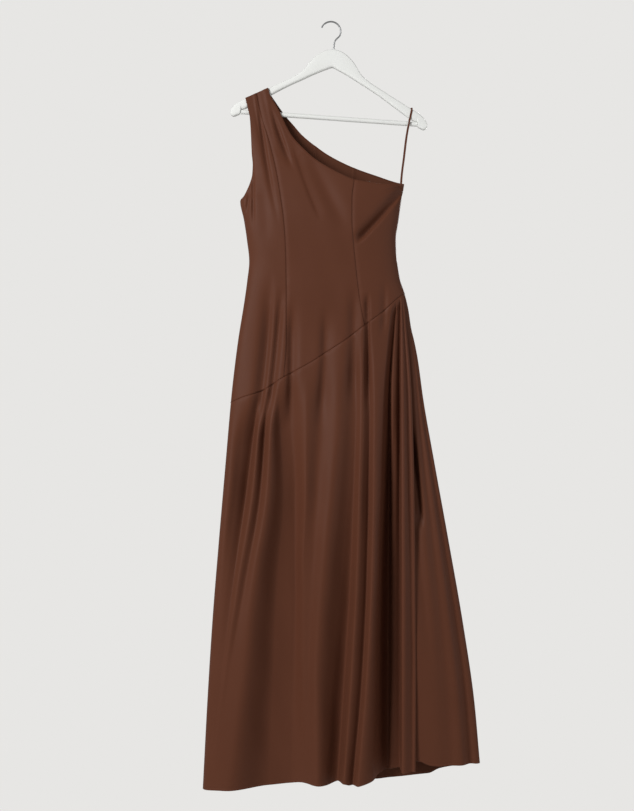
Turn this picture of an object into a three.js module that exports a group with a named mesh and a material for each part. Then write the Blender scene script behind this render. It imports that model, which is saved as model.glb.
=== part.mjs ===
// A floor-length one-shoulder dress in heavy satin. It hangs by its one strap and by a ribbon loop on a
// wooden hanger with a trouser bar, and the hanger's steel hook hangs at the origin.
// Millimetres, +Z up, the front of the dress faces -Y. The origin is the inner top of the hook.
import * as THREE from "three";

// Cloth
const WALL = 1.2; // thickness of the cloth's wall
const SEAM = 0.3; // gap between two pieces that are sewn together
const WAIST_SEAM = 0.5; // the same gap along the slanting waist seam, measured upwards
const RING_POWER = 2.5; // power of the superellipse that a level section of the dress follows
const REST_GAP = 0.7; // gap between the strap and the hanger's arm that carries it
const SHOULDER_DROP = 5; // height over which the strap turns from the arm's top to its side
const SHOULDER_POWER = 3; // squareness of that turn

// Hanger, in its own frame, which leans clockwise about the origin
const LEAN = THREE.MathUtils.degToRad(4.1);
const HANGER_CENTRE = 9.2; // from the origin to the stem, across
const HANGER_THICK = 14;
const HANGER_EDGE = 3; // radius of the rounded edges
const BAR_DIAMETER = 10;
const BAR_HEIGHT = -208;
const BAR_SEAT = 193; // from the stem to the face that the bar's end meets
const HOOK_WIRE = 3.5;
const HOOK_RADIUS = 21.5; // from the middle of the hook's round to the middle of the wire
const HOOK_ROUND = { from: 158, to: -22, step: 15 }; // degrees of the round, from the tip over the top
const WIRE_SIDES = 10;
const WIRE_STEPS = 40;
const BAR_SIDES = 20;

// Ribbon loop from the right underarm corner up over the right arm of the hanger
const RIBBON_WIDE = 4;
const RIBBON_THICK = 1;
const RIBBON_OUT = 178; // from the stem to where it crosses the arm
const RIBBON_CLEAR = 1.7; // the arm slopes under the ribbon's width
const RIBBON_STEPS = 40;

// A table is written as rows under named columns and read as objects.
function table(columns, rows) {
  return rows.map((row) => Object.fromEntries(columns.map((name, i) => [name, row[i]])));
}

// Left edge seen from the front: the armhole down to its tip at -389.5, then the side seam.
const LEFT = table(["z", "x"], [
  [-140, -192],
  [-166, -187],
  [-186, -182.5],
  [-208, -177.5],
  [-245, -175],
  [-288, -173],
  [-312, -171],
  [-332, -172],
  [-351, -177],
  [-367, -184],
  [-379, -190.5],
  [-389.5, -198.5],
  [-430, -190.5],
  [-473, -184],
  [-521, -179],
  [-560, -183],
  [-604, -189],
  [-691, -203],
  [-778, -214],
  [-826, -219],
  [-952, -230],
  [-1126, -245],
  [-1300, -259],
  [-1474, -270],
  [-1664, -280],
]);

// Right edge: the side seam of the bodice, then the back skirt where it comes round to the front.
const RIGHT = table(["z", "x"], [
  [-140, 160],
  [-351, 158],
  [-386, 152],
  [-430, 146],
  [-473, 140],
  [-508, 141],
  [-534, 144.5],
  [-560, 149],
  [-590, 159],
  [-626, 167.5],
  [-663, 173],
  [-695, 180.5],
  [-734, 188],
  [-821, 200],
  [-952, 223],
  [-1126, 254.5],
  [-1300, 285],
  [-1474, 310.5],
  [-1611, 323],
]);

// How far the front and back stand out of the hanger's plane at each height.
const DEPTH = table(["z", "front", "back"], [
  [-140, 10.2, 10.2],
  [-215, 10.8, 10.8],
  [-300, 25, 13],
  [-430, 45, 18],
  [-560, 37, 20],
  [-700, 30, 22],
  [-830, 36, 26],
  [-1000, 43, 32],
  [-1300, 50, 40],
  [-1664, 55, 45],
]);

// Half of the open armhole between the front's edge and the back's.
const ARMHOLE_TIP = -389.5;
const ARMHOLE = table(["z", "half"], [
  [-140, 9.6],
  [-215, 10],
  [-300, 11],
  [-351, 9],
  [-379, 3.5],
  [ARMHOLE_TIP, 0.15],
]);

// Princess seams that part the bodice into three panels, front and back.
const FRONT_SEAMS = table(["z", "strapSide", "openSide"], [
  [-140, -165, 51],
  [-208, -151, 50],
  [-256, -136, 49],
  [-299, -125, 49],
  [-343, -116, 49],
  [-386, -109, 44.5],
  [-430, -103, 44],
  [-484, -99, 47.5],
  [-539, -97.5, 53],
  [-604, -97, 61],
  [-691, -97, 79],
  [-771, -102, 98],
]);
const BACK_SEAMS = table(["z", "strapSide", "openSide"], [
  [-140, -34, 50],
  [-270, -36, 49],
  [-386, -42, 47],
  [-484, -48, 49],
  [-604, -54, 60],
  [-760, -62, 82],
]);

// The neckline runs from the neck point on the strap to the right underarm corner.
const NECK_POINT = -138.2;
const NECK_TURN = [0, 0.15, 0.5, 1.2]; // columns beside the neck point, where the neckline turns over the arm
const NECKLINE = table(["x", "front", "back"], [
  [-138.2, -143.1, -143.1],
  [-138.05, -143.4, -143.4],
  [-137.7, -144.4, -144.4],
  [-137, -148.5, -147.5],
  [-131.6, -164, -157],
  [-122.9, -177.5, -170],
  [-112, -197.3, -186],
  [-97, -230, -206],
  [-85, -250, -219.5],
  [-64, -274.5, -243.5],
  [-36, -300.5, -266.5],
  [-8, -319, -286],
  [18.5, -333.5, -300.5],
  [49, -346.5, -314.5],
  [99, -354.3, -332.5],
  [138, -357.2, -346],
  [158, -358, -351.5],
]);

// The waist seam slants up from the left side to the right.
const WAIST = table(["x", "z"], [
  [-222, -827],
  [-193, -816],
  [-166.5, -807],
  [-140, -796],
  [-127, -787],
  [-102, -771.5],
  [-76, -757.5],
  [-42, -738.5],
  [-10, -717.5],
  [24, -696],
  [57, -671],
  [72, -659.5],
  [108, -633],
  [127, -616],
  [147, -597.5],
  [160, -588],
]);

// The hem of the front, of the back, and of the back where it comes round to the front.
const HEM = table(["x", "front", "back", "round"], [
  [-280, -1664, -1664, -1664],
  [-240, -1661, -1663, -1664],
  [-166, -1657, -1660, -1664],
  [-134, -1646, -1659, -1664],
  [-90, -1637, -1658, -1664],
  [-3, -1644, -1658, -1650],
  [40, -1646, -1657, -1640],
  [77, -1641, -1656, -1630],
  [101, -1631, -1655, -1620],
  [127, -1625, -1650, -1610],
  [158, -1620, -1646, -1600],
  [185, -1619, -1644, -1599],
  [214, -1617, -1643, -1609],
  [238, -1617, -1632, -1611],
  [290, -1617, -1616, -1611],
  [323, -1617, -1611, -1611],
]);

// Long folds of the front skirt. Each row is a line from waist to hem, a crest or a trough, with its
// place across at five heights, how deep it lies behind the skirt's round section there, and the
// number of columns from the row before.
const FOLD_HEIGHTS = [-604, -821, -1082, -1344, -1648];
const SIDE = "side seam";
const FRONT_FOLDS = table(["name", "steps", "across", "recess"], [
  [SIDE, 0, [-189, -219, -241, -262, -279], [0, 0, 0, 0, 0]],
  ["first trough", 4, [-142, -164, -198, -231, -262], [4, 8, 10, 4, 1]],
  ["first crest", 2, [-132, -152, -183, -218, -249], [0, 1, 1, 0, 0]],
  ["second trough", 2, [-117, -138, -167, -198, -232], [5, 9, 10, 4, 1]],
  ["second crest", 2, [-108, -123, -153, -186, -222], [0, 0, 0, 0, 0]],
  ["third trough", 3, [-92, -98, -112, -124, -132], [2, 9, 20, 28, 30]],
  ["third crest", 3, [-56, -58, -64, -68, -72], [0, 0, 2, 8, 12]],
  ["fourth trough", 2, [-16, -24, -36, -47, -60], [4, 7, 7, 8, 10]],
  ["fourth crest", 3, [12, 8, -8, -28, -46], [0, 0, 0, 0, 0]],
  ["fifth trough", 3, [46, 46, 41, 30, 8], [3, 10, 20, 27, 30]],
  ["fifth crest", 3, [59, 62, 56, 45, 25], [1, 2, 4, 7, 9]],
  ["sixth trough", 2, [72, 82, 76, 68, 45], [4, 12, 15, 16, 16]],
  ["sixth crest", 3, [92, 95, 89, 80, 62], [0, 0, 0, 0, 0]],
  ["edge of the deep fold", 2, [127, 112, 106, 99, 90], [1, 5, 8, 10, 12]],
  ["deep fold", 3, [140, 127, 125, 124, 123], [9, 29, 38, 42, 42]],
  ["ledge", 2, [145, 138, 137, 138, 138], [7, 17, 24, 28, 28]],
  ["inner edge of the strip", 2, [148, 147, 146, 146, 145], [6, 21, 25, 27, 27]],
  ["crest of the strip", 3, [152, 156, 156, 156, 156], [0, 0, 0, 0, 0]],
  ["groove of the strip", 2, [154, 166, 169, 171, 173], [0, 5, 7, 8, 8]],
  ["slit edge", 2, [157, 174, 181, 183, 184], [0, 2, 3, 3, 3]],
]);
const FOLD_RAMP = 30; // height below the waist seam over which the folds reach their depth

// Gap between the slit edge and the back skirt behind it, and how far the back skirt is tucked in.
const SLIT = table(["z", "gap", "tuck"], [
  [-560, 12, 2],
  [-604, 12, 2],
  [-686, 11, 2.5],
  [-760, 12, 4],
  [-820, 14, 5],
  [-900, 17, 7],
  [-1100, 19, 7],
  [-1664, 20, 7],
]);

// Folds of the back skirt. turn runs from -1 at the tucked edge through 0 at the right side to 1 at the
// left side seam, and the recesses are at the waist, halfway down and at the hem.
const BACK_FOLD_HEIGHTS = [-640, -1100, -1650];
const BACK_FOLDS = table(["turn", "steps", "waist", "middle", "hem"], [
  [-1, 0, 0, 4, 4],
  [-0.72, 2, 0, 2, 1],
  [-0.52, 2, 0, 4, 7],
  [-0.36, 2, 0, 1, 0],
  [-0.18, 2, 0, 3, 5],
  [0, 2, 0, 0, 0],
  [0.12, 3, 0, 1, 0],
  [0.22, 2, 2, 9, 14],
  [0.31, 2, 0, 0, 0],
  [0.41, 2, 3, 12, 17],
  [0.5, 3, 0, 1, 0],
  [0.58, 2, 2, 8, 13],
  [0.68, 3, 0, 0, 0],
  [0.79, 3, 3, 9, 15],
  [0.88, 2, 0, 0, 0],
  [1, 4, 0, 0, 0],
]);

// Creases of the bodice's front, each a soft trough from one end to the other. bow lifts its middle to
// the left of that direction, and the two half widths lie on its left and on its right.
const CREASES = table(
  ["name", "x1", "z1", "x2", "z2", "bow", "leftHalf", "rightHalf", "deep"],
  [
    ["strap, outer", -168, -168, -110, -484, -6, 5, 5, 3],
    ["strap, inner", -142, -164, -95, -332, -3, 6, 6, 4],
    ["strap pleat", -97, -230, -20, -443, -4, 14, 6, 6],
    ["bust, broad", -64, -277, 36, -473, -5, 18, 18, 8],
    ["underarm, deep", 153, -371, 53, -473, 3, 6, 13, 12],
    ["left side", -176, -349, -177, -500, 3, 7, 5, 5],
  ],
);

const CREASE_FADE = 0.2; // share of a crease's length over which it fades in, and out

// Rows of the bodice from top to waist, close together where the strap turns over the arm.
const BODICE_ROWS = [
  0, 0.0008, 0.0025, 0.0065, 0.016, 0.04, 0.08, 0.13, 0.185, 0.24, 0.29, 0.318, 0.34, 0.38, 0.44, 0.51,
  0.59, 0.68, 0.78, 0.89, 1,
];
const SKIRT_FRONT_ROWS = 17;
const SKIRT_BACK_ROWS = 14;

// The ribbon's route: sewn inside the bodice, then free up to the arm, then over the arm's top. out is
// its distance from the hanger's plane, in the last table beyond the place beside the arm's face.
const RIBBON_SEWN = table(["x", "z"], [
  [150.5, -366],
  [151, -357],
  [151.5, -346],
]);
const RIBBON_FREE = table(["x", "out", "z"], [
  [153, 6, -330],
  [157.5, 8, -295],
  [163, 8.6, -250],
]);
const RIBBON_TURN = table(["back", "out", "drop"], [
  [4.5, 0.4, 26.5],
  [1.5, 0, 11.5],
  [0, 0.1, 3.4],
  [0, -1.6, 0.4],
  [0, -4.8, 0],
]);

// Sections of one arm of the hanger, from the stem out to the tip.
const ARM = table(["out", "top", "low"], [
  [0, -58.9, -98.5],
  [13, -61.2, -103.5],
  [27, -68, -110],
  [40, -78.6, -116.5],
  [49, -89, -121],
  [56.5, -100, -125.5],
  [65, -110.7, -130.3],
  [82, -124, -139.3],
  [109, -139.2, -155],
  [131, -151.3, -169],
  [152, -162.5, -182.5],
  [175, -174.8, -196.5],
  [188, -181.5, -202.7],
]);
const HOOK_BEND = table(["side", "z"], [
  [3.4, -36.5],
  [0.4, -44],
  [0, -50],
  [0, ARM[0].top + SEAM],
]);
const ARM_TIP = table(["out", "z"], [
  [203, -191.5],
  [210.5, -200],
  [214.6, -209],
  [213, -217],
  [207, -219.5],
  [BAR_SEAT, -213.5],
  [BAR_SEAT, -202.7],
]);

// Search for a line's height: between two heights that hold the whole dress.
const ABOVE_ALL = -100;
const BELOW_ALL = -1750;
const HALVINGS = 50;

const clamp = THREE.MathUtils.clamp;
const mix = THREE.MathUtils.lerp;

const ease = (share) => THREE.MathUtils.smoothstep(share, 0, 1);

// A smooth line through table rows that never swings past them: a cubic between each two rows whose
// slope at a row is the harmonic mean of the slopes beside it, and straight beyond the ends.
function lineThrough(pairs) {
  const p = [...pairs].sort((a, b) => a[0] - b[0]);
  const last = p.length - 1;
  const slopes = p.slice(1).map((q, i) => (q[1] - p[i][1]) / (q[0] - p[i][0]));
  const tangents = p.map((_, i) => {
    if (i === 0) return slopes[0];
    if (i === last) return slopes[last - 1];
    const product = slopes[i - 1] * slopes[i];
    return product <= 0 ? 0 : (2 * product) / (slopes[i - 1] + slopes[i]);
  });
  return (v) => {
    if (v <= p[0][0]) return p[0][1] + tangents[0] * (v - p[0][0]);
    if (v >= p[last][0]) return p[last][1] + tangents[last] * (v - p[last][0]);
    let i = 0;
    while (p[i + 1][0] < v) i += 1;
    const span = p[i + 1][0] - p[i][0];
    const s = (v - p[i][0]) / span;
    const rise = s * s * (3 - 2 * s);
    return (
      mix(p[i][1], p[i + 1][1], rise) +
      span * (tangents[i] * s * (1 - s) ** 2 - tangents[i + 1] * s * s * (1 - s))
    );
  };
}

function column(rows, from, to) {
  return lineThrough(rows.map((row) => [row[from], row[to]]));
}

const leftAt = column(LEFT, "z", "x");
const rightAt = column(RIGHT, "z", "x");
const frontDepthAt = column(DEPTH, "z", "front");
const backDepthAt = column(DEPTH, "z", "back");
const armholeAt = column(ARMHOLE, "z", "half");
const neckFrontAt = column(NECKLINE, "x", "front");
const neckBackAt = column(NECKLINE, "x", "back");
const waistAt = column(WAIST, "x", "z");
const skirtTopAt = (x) => waistAt(x) - WAIST_SEAM / 2;
const hemFrontAt = column(HEM, "x", "front");
const hemBackAt = column(HEM, "x", "back");
const hemRoundAt = column(HEM, "x", "round");
const slitGapAt = column(SLIT, "z", "gap");
const slitTuckAt = column(SLIT, "z", "tuck");
const slitFold = FRONT_FOLDS[FRONT_FOLDS.length - 1];
const slitEdgeAt = lineThrough(FOLD_HEIGHTS.map((z, i) => [z, slitFold.across[i]]));
const armTopAt = column(ARM, "out", "top");

// A point of the hanger's own frame, out from the stem and up, in the part's frame.
function fromHanger(out, up) {
  const across = HANGER_CENTRE + out;
  return {
    x: across * Math.cos(LEAN) + up * Math.sin(LEAN),
    z: -across * Math.sin(LEAN) + up * Math.cos(LEAN),
  };
}

// The strap's fold line over the left arm.
const shoulderAt = lineThrough(
  ARM.map(({ out, top }) => fromHanger(-out, top)).map(({ x, z }) => [x, z + WALL + REST_GAP]),
);

function topFrontAt(x) {
  return x <= NECK_POINT ? shoulderAt(x) : Math.min(neckFrontAt(x), shoulderAt(x));
}

function topBackAt(x) {
  return x <= NECK_POINT ? shoulderAt(x) : Math.min(neckBackAt(x), shoulderAt(x));
}

// Share of the depth at a place across a level section, from 0 at its ends to 1 in the middle.
function ringShare(x, z) {
  const middle = (leftAt(z) + rightAt(z)) / 2;
  const half = (rightAt(z) - leftAt(z)) / 2;
  const u = Math.min(1, Math.abs(x - middle) / half);
  return { left: x < middle, share: (1 - u ** RING_POWER) ** (1 / RING_POWER) };
}

// Distance in front of or behind the hanger's plane: the section's round, opened at the armhole, and
// turned over the arm at the top of the strap.
function standOut(x, z, depth) {
  const { left, share } = ringShare(x, z);
  const open = left && z > ARMHOLE_TIP ? armholeAt(z) : 0;
  const drop = clamp((shoulderAt(x) - z) / SHOULDER_DROP, 0, 1);
  const turn = (1 - (1 - drop) ** SHOULDER_POWER) ** (1 / SHOULDER_POWER);
  return mix(open, depth, share) * turn;
}

// Depth of the bodice's creases at a place. Across a crease it falls off as a bell curve.
function creaseDepth(x, z) {
  return CREASES.reduce((sum, c) => {
    const dx = c.x2 - c.x1;
    const dz = c.z2 - c.z1;
    const length = Math.hypot(dx, dz);
    const along = ((x - c.x1) * dx + (z - c.z1) * dz) / length ** 2;
    if (along <= 0 || along >= 1) return sum;
    const bow = c.bow * 4 * along * (1 - along);
    const off = ((z - c.z1) * dx - (x - c.x1) * dz) / length - bow;
    const half = off > 0 ? c.leftHalf : c.rightHalf;
    const fade = ease(along / CREASE_FADE) * ease((1 - along) / CREASE_FADE);
    return sum + c.deep * fade * Math.exp(-((off / half) ** 2));
  }, 0);
}

function bodiceFront(x, z) {
  const flat = standOut(x, z, frontDepthAt(z));
  return -flat + creaseDepth(x, z) * clamp(flat / frontDepthAt(z), 0, 1);
}

function bodiceBack(x, z) {
  return standOut(x, z, backDepthAt(z));
}

// The direction square to a bodice surface, from its slopes across and up over a tenth of a millimetre.
function squareTo(surface, x, z) {
  const step = 0.1;
  const across = (surface(x + step, z) - surface(x - step, z)) / (2 * step);
  const up = (surface(x, z + step) - surface(x, z - step)) / (2 * step);
  return new THREE.Vector3(-across, 1, -up);
}

// The height at which a column crosses a line across the dress, by halving the interval.
function crossing(xAt, lineAt) {
  let [high, low] = [ABOVE_ALL, BELOW_ALL];
  for (let i = 0; i < HALVINGS; i += 1) {
    const z = (high + low) / 2;
    if (z > lineAt(xAt(z))) high = z;
    else low = z;
  }
  return (high + low) / 2;
}

// Outer points of a cloth piece: rows between a top and a bottom line on each of its columns.
// seam(point, row, column) names the axes that a seam at that point runs across, if there is one.
function clothGrid({ columns, rows, side, seam }) {
  return columns.map(({ xAt, yAt, top, bottom, squareAt }, c) => {
    const high = crossing(xAt, top);
    const low = crossing(xAt, bottom);
    return rows.map((share, r) => {
      const z = mix(high, low, share);
      const point = new THREE.Vector3(xAt(z), yAt(z), z);
      point.square = squareAt?.(z);
      point.seam = seam(point, r, c);
      if (point.seam.includes("y")) point.y = (side * SEAM) / 2;
      return point;
    });
  });
}

// A closed wall inside a grid of outer points. Each inner point lies WALL behind its outer point, along
// the surface's normal, which is kept in the seam's plane where the piece is sewn to the next. outward
// is the sign that turns columns across rows into the normal that faces out.
function wall(grid, outward) {
  const last = grid.length - 1;
  const rows = grid[0].length;
  const fromNeighbours = (c, r) => {
    const across = grid[Math.min(c + 1, last)][r].clone().sub(grid[Math.max(c - 1, 0)][r]);
    const down = grid[c][Math.min(r + 1, rows - 1)].clone().sub(grid[c][Math.max(r - 1, 0)]);
    return across.cross(down);
  };
  const normal = (c, r) => {
    const n = (grid[c][r].square ?? fromNeighbours(c, r)).multiplyScalar(outward);
    for (const axis of grid[c][r].seam) n[axis] = 0;
    return n.normalize();
  };
  const outer = grid.flat();
  const behind = (p, c, r) => p.clone().addScaledVector(normal(c, r), -WALL);
  const inner = grid.flatMap((points, c) => points.map((p, r) => behind(p, c, r)));
  const at = (c, r) => c * rows + r;
  const faces = [];
  const quad = (a, b, c, d) => faces.push(a, b, c, a, c, d);
  for (let c = 0; c < last; c += 1) {
    for (let r = 0; r < rows - 1; r += 1) {
      const [a, b, d, e] = [at(c, r), at(c + 1, r), at(c + 1, r + 1), at(c, r + 1)];
      quad(a, b, d, e);
      quad(...[e, d, b, a].map((i) => i + outer.length));
    }
  }
  const rim = [
    ...grid.map((_, c) => at(c, 0)),
    ...grid[0].slice(1).map((_, r) => at(last, r + 1)),
    ...grid.slice(1).map((_, c) => at(last - 1 - c, rows - 1)),
    ...grid[0].slice(2).map((_, r) => at(0, rows - 2 - r)),
  ];
  rim.forEach((a, i) => {
    const b = rim[(i + 1) % rim.length];
    quad(a, a + outer.length, b + outer.length, b);
  });
  return closedMesh([...outer, ...inner], faces);
}

// Volume inside a list of triangles, negative where they face inwards.
function signedVolume(points, faces) {
  let sum = 0;
  for (let i = 0; i < faces.length; i += 3) {
    const [a, b, c] = [points[faces[i]], points[faces[i + 1]], points[faces[i + 2]]];
    sum += a.dot(b.clone().cross(c)) / 6;
  }
  return sum;
}

function closedMesh(points, faces) {
  const order = signedVolume(points, faces) < 0 ? [...faces].reverse() : faces;
  const geometry = new THREE.BufferGeometry();
  const numbers = points.flatMap((p) => [p.x, p.y, p.z]);
  geometry.setAttribute("position", new THREE.Float32BufferAttribute(numbers, 3));
  geometry.setIndex(order);
  geometry.computeVertexNormals();
  return geometry;
}

function evenly(steps) {
  return Array.from({ length: steps + 1 }, (_, i) => i / steps);
}

const towardsLeft = (share) => 1 - Math.cos((share * Math.PI) / 2); // closer columns at the left
const towardsRight = (share) => Math.sin((share * Math.PI) / 2); // closer columns at the right
const even = (share) => share;

// One panel of the bodice between two edges, with the neck point on a column where the panel has it.
function bodicePanel({ from, to, steps, spacing, side, firstSewn, lastSewn }) {
  const [top, surface] = side < 0 ? [topFrontAt, bodiceFront] : [topBackAt, bodiceBack];
  const shares = evenly(steps).map(spacing);
  const neckTop = top(NECK_POINT);
  const shareOf = (x) => (x - from(neckTop)) / (to(neckTop) - from(neckTop));
  if (shareOf(NECK_POINT) > 0 && shareOf(NECK_POINT) < 1) {
    const near = shares.map((s) => Math.abs(s - shareOf(NECK_POINT)));
    const turned = NECK_TURN.map((by) => shareOf(NECK_POINT + by));
    shares.splice(near.indexOf(Math.min(...near)), 1, ...turned);
  }
  const bottom = (x) => waistAt(x) + WAIST_SEAM / 2;
  const columns = shares.map((share) => {
    const xAt = (z) => mix(from(z), to(z), share);
    const squareAt = (z) => squareTo(surface, xAt(z), z);
    return { xAt, yAt: (z) => surface(xAt(z), z), top, bottom, squareAt };
  });
  const seam = (p, r, c) => {
    const waist = r === BODICE_ROWS.length - 1 ? "z" : "";
    if (c === 0 && !firstSewn) return `x${waist}`;
    if (c === shares.length - 1 && !lastSewn) return `x${waist}`;
    const atSide = (c === 0 && p.z < ARMHOLE_TIP + SEAM) || c === shares.length - 1;
    const atShoulder = r === 0 && p.x < NECK_POINT + SEAM;
    return (atSide || atShoulder ? "y" : "") + waist;
  };
  return wall(clothGrid({ columns, rows: BODICE_ROWS, side, seam }), side);
}

function bodicePanels(side, seams) {
  const strapSeam = column(seams, "z", "strapSide");
  const openSeam = column(seams, "z", "openSide");
  const shift = (line, by) => (z) => line(z) + by;
  const front = side < 0;
  return {
    strap_side: bodicePanel({
      from: leftAt,
      to: shift(strapSeam, -SEAM / 2),
      steps: front ? 8 : 10,
      spacing: towardsLeft,
      side,
      firstSewn: true,
    }),
    centre: bodicePanel({
      from: shift(strapSeam, SEAM / 2),
      to: shift(openSeam, -SEAM / 2),
      steps: front ? 11 : 6,
      spacing: even,
      side,
    }),
    open_side: bodicePanel({
      from: shift(openSeam, SEAM / 2),
      to: rightAt,
      steps: 9,
      spacing: towardsRight,
      side,
      lastSewn: true,
    }),
  };
}

// Columns of a skirt from its fold lines, each shared by the lines beside it.
function foldColumns(lines, between) {
  return lines.slice(1).flatMap((line, i) =>
    evenly(line.steps)
      .slice(i === 0 ? 0 : 1)
      .map((share) => between(lines[i], line, share)),
  );
}

// The front skirt: columns between each two fold lines, eased in depth from one to the next.
function skirtFront() {
  const lines = FRONT_FOLDS.map(({ name, steps, across, recess }) => ({
    name,
    steps,
    xAt: name === SIDE ? leftAt : lineThrough(FOLD_HEIGHTS.map((z, i) => [z, across[i]])),
    recessAt: lineThrough(FOLD_HEIGHTS.map((z, i) => [z, recess[i]])),
  }));
  const between = (a, b, share) => {
    const spaced = a.name === SIDE ? towardsLeft(share) : share;
    const xAt = (z) => mix(a.xAt(z), b.xAt(z), spaced);
    const yAt = (z) => {
      const ramp = ease((skirtTopAt(xAt(z)) - z) / FOLD_RAMP);
      const recess = mix(a.recessAt(z), b.recessAt(z), ease(spaced));
      return -standOut(xAt(z), z, frontDepthAt(z)) + Math.max(0, recess) * ramp;
    };
    return { xAt, yAt, top: skirtTopAt, bottom: hemFrontAt };
  };
  const columns = foldColumns(lines, between);
  const seam = (p, r, c) => (c === 0 ? "y" : "") + (r === 0 ? "z" : "");
  return wall(clothGrid({ columns, rows: evenly(SKIRT_FRONT_ROWS - 1), side: -1, seam }), -1);
}

// A point of the back skirt's section, by its turn, before its folds.
function backRing(turn, z) {
  const middle = (leftAt(z) + rightAt(z)) / 2;
  const half = (rightAt(z) - leftAt(z)) / 2;
  const edgeShare = clamp((slitEdgeAt(z) - slitTuckAt(z) - middle) / half, 0, 1);
  const edgeAngle = Math.acos(edgeShare ** (RING_POWER / 2));
  const round = turn < 0;
  const angle = round ? -turn * edgeAngle : turn * Math.PI;
  const depth = round ? frontDepthAt(z) - slitGapAt(z) : backDepthAt(z);
  const cosine = Math.cos(angle);
  return new THREE.Vector2(
    middle + half * Math.sign(cosine) * Math.abs(cosine) ** (2 / RING_POWER),
    (round ? -1 : 1) * depth * Math.sin(angle) ** (2 / RING_POWER),
  );
}

// The same point moved inwards by a fold's recess, square to the section.
function backPoint(turn, z, recess) {
  const step = 0.002; // of a turn, for the section's direction
  const ahead = backRing(Math.min(turn + step, 1), z);
  const along = ahead.sub(backRing(Math.max(turn - step, -1), z)).normalize();
  const inwards = new THREE.Vector2(-along.y, along.x);
  return backRing(turn, z).addScaledVector(inwards, recess);
}

function skirtBack() {
  const lines = BACK_FOLDS.map(({ turn, steps, waist, middle, hem }) => ({
    turn,
    steps,
    recessAt: lineThrough([waist, middle, hem].map((recess, i) => [BACK_FOLD_HEIGHTS[i], recess])),
  }));
  const between = (a, b, share) => {
    const spaced = b.turn === 1 ? towardsRight(share) : share;
    const turn = mix(a.turn, b.turn, spaced);
    const recessAt = (z) => Math.max(0, mix(a.recessAt(z), b.recessAt(z), ease(spaced)));
    const placeAt = (z) => backPoint(turn, z, recessAt(z));
    return {
      xAt: (z) => placeAt(z).x,
      yAt: (z) => placeAt(z).y,
      top: skirtTopAt,
      bottom: turn < 0 ? hemRoundAt : hemBackAt,
    };
  };
  const columns = foldColumns(lines, between);
  const seam = (p, r, c) => (c === columns.length - 1 ? "y" : "") + (r === 0 ? "z" : "");
  return wall(clothGrid({ columns, rows: evenly(SKIRT_BACK_ROWS - 1), side: 1, seam }), -1);
}

// One strand of the ribbon, from its sewn end inside the bodice up to the top of the arm. The sewn end
// lies along the panel's inner face, the free part clears the arm's side, and the last points turn over
// the arm's rounded edge.
function ribbonStrand(side, surface, arm, top) {
  const inside = 2 * WALL + SEAM + RIBBON_THICK / 2;
  const beside = HANGER_THICK / 2 + SEAM + RIBBON_THICK / 2;
  const sewn = ({ x, z }) => [x, surface(x + RIBBON_WIDE / 2 + SEAM, z) - side * inside, z];
  const free = ({ x, out, z }) => [x, side * out, z];
  return [
    ...RIBBON_SEWN.map(sewn),
    ...RIBBON_FREE.map(free),
    ...RIBBON_TURN.map(({ back, out, drop }) => [arm.x - back, side * (beside + out), top - drop]),
  ].map((p) => new THREE.Vector3(...p));
}

// The ribbon: a flat section carried along both strands, its width across the path.
function ribbonLoop() {
  const arm = fromHanger(RIBBON_OUT, armTopAt(RIBBON_OUT));
  const top = arm.z + SEAM + RIBBON_THICK / 2 + RIBBON_CLEAR;
  const route = [
    ...ribbonStrand(-1, bodiceFront, arm, top),
    new THREE.Vector3(arm.x, 0, top),
    ...ribbonStrand(1, bodiceBack, arm, top).reverse(),
  ];
  const path = new THREE.CatmullRomCurve3(route, false, "centripetal");
  const points = [];
  const faces = [];
  for (let i = 0; i <= RIBBON_STEPS; i += 1) {
    const centre = path.getPoint(i / RIBBON_STEPS);
    const along = path.getTangent(i / RIBBON_STEPS);
    const across = new THREE.Vector3(1, 0, 0).addScaledVector(along, -along.x).normalize();
    const through = along.clone().cross(across);
    for (const [w, t] of [[-1, -1], [1, -1], [1, 1], [-1, 1]]) {
      points.push(
        centre
          .clone()
          .addScaledVector(across, (w * RIBBON_WIDE) / 2)
          .addScaledVector(through, (t * RIBBON_THICK) / 2),
      );
    }
  }
  for (let i = 0; i < RIBBON_STEPS; i += 1) {
    for (let k = 0; k < 4; k += 1) {
      const [a, b] = [4 * i + k, 4 * i + ((k + 1) % 4)];
      faces.push(a, b, b + 4, a, b + 4, a + 4);
    }
  }
  const end = 4 * RIBBON_STEPS;
  faces.push(2, 1, 0, 3, 2, 0, end, end + 1, end + 2, end, end + 2, end + 3);
  return closedMesh(points, faces);
}

// The hanger's wooden body: one outline from the arm's sections, mirrored about the stem, with rounded
// edges front and back.
function hangerBody() {
  const half = [
    ...ARM.map(({ out, top }) => [out, top]),
    ...ARM_TIP.map(({ out, z }) => [out, z]),
    ...[...ARM].reverse().map(({ out, low }) => [out, low]),
  ];
  const left = half.slice(1, -1).reverse().map(([out, z]) => [-out, z]);
  const outline = [...half, ...left].map(([out, z]) => new THREE.Vector2(HANGER_CENTRE + out, z));
  const geometry = new THREE.ExtrudeGeometry(new THREE.Shape(outline), {
    depth: HANGER_THICK - 2 * HANGER_EDGE,
    bevelEnabled: true,
    bevelThickness: HANGER_EDGE,
    bevelSize: HANGER_EDGE,
    bevelOffset: -HANGER_EDGE,
    bevelSegments: 2,
  });
  geometry.translate(0, 0, -HANGER_THICK / 2 + HANGER_EDGE);
  return geometry.rotateX(Math.PI / 2);
}

function hangerBar() {
  const length = 2 * (BAR_SEAT - SEAM);
  const geometry = new THREE.CylinderGeometry(BAR_DIAMETER / 2, BAR_DIAMETER / 2, length, BAR_SIDES);
  return geometry.rotateZ(Math.PI / 2).translate(HANGER_CENTRE, 0, BAR_HEIGHT);
}

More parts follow.
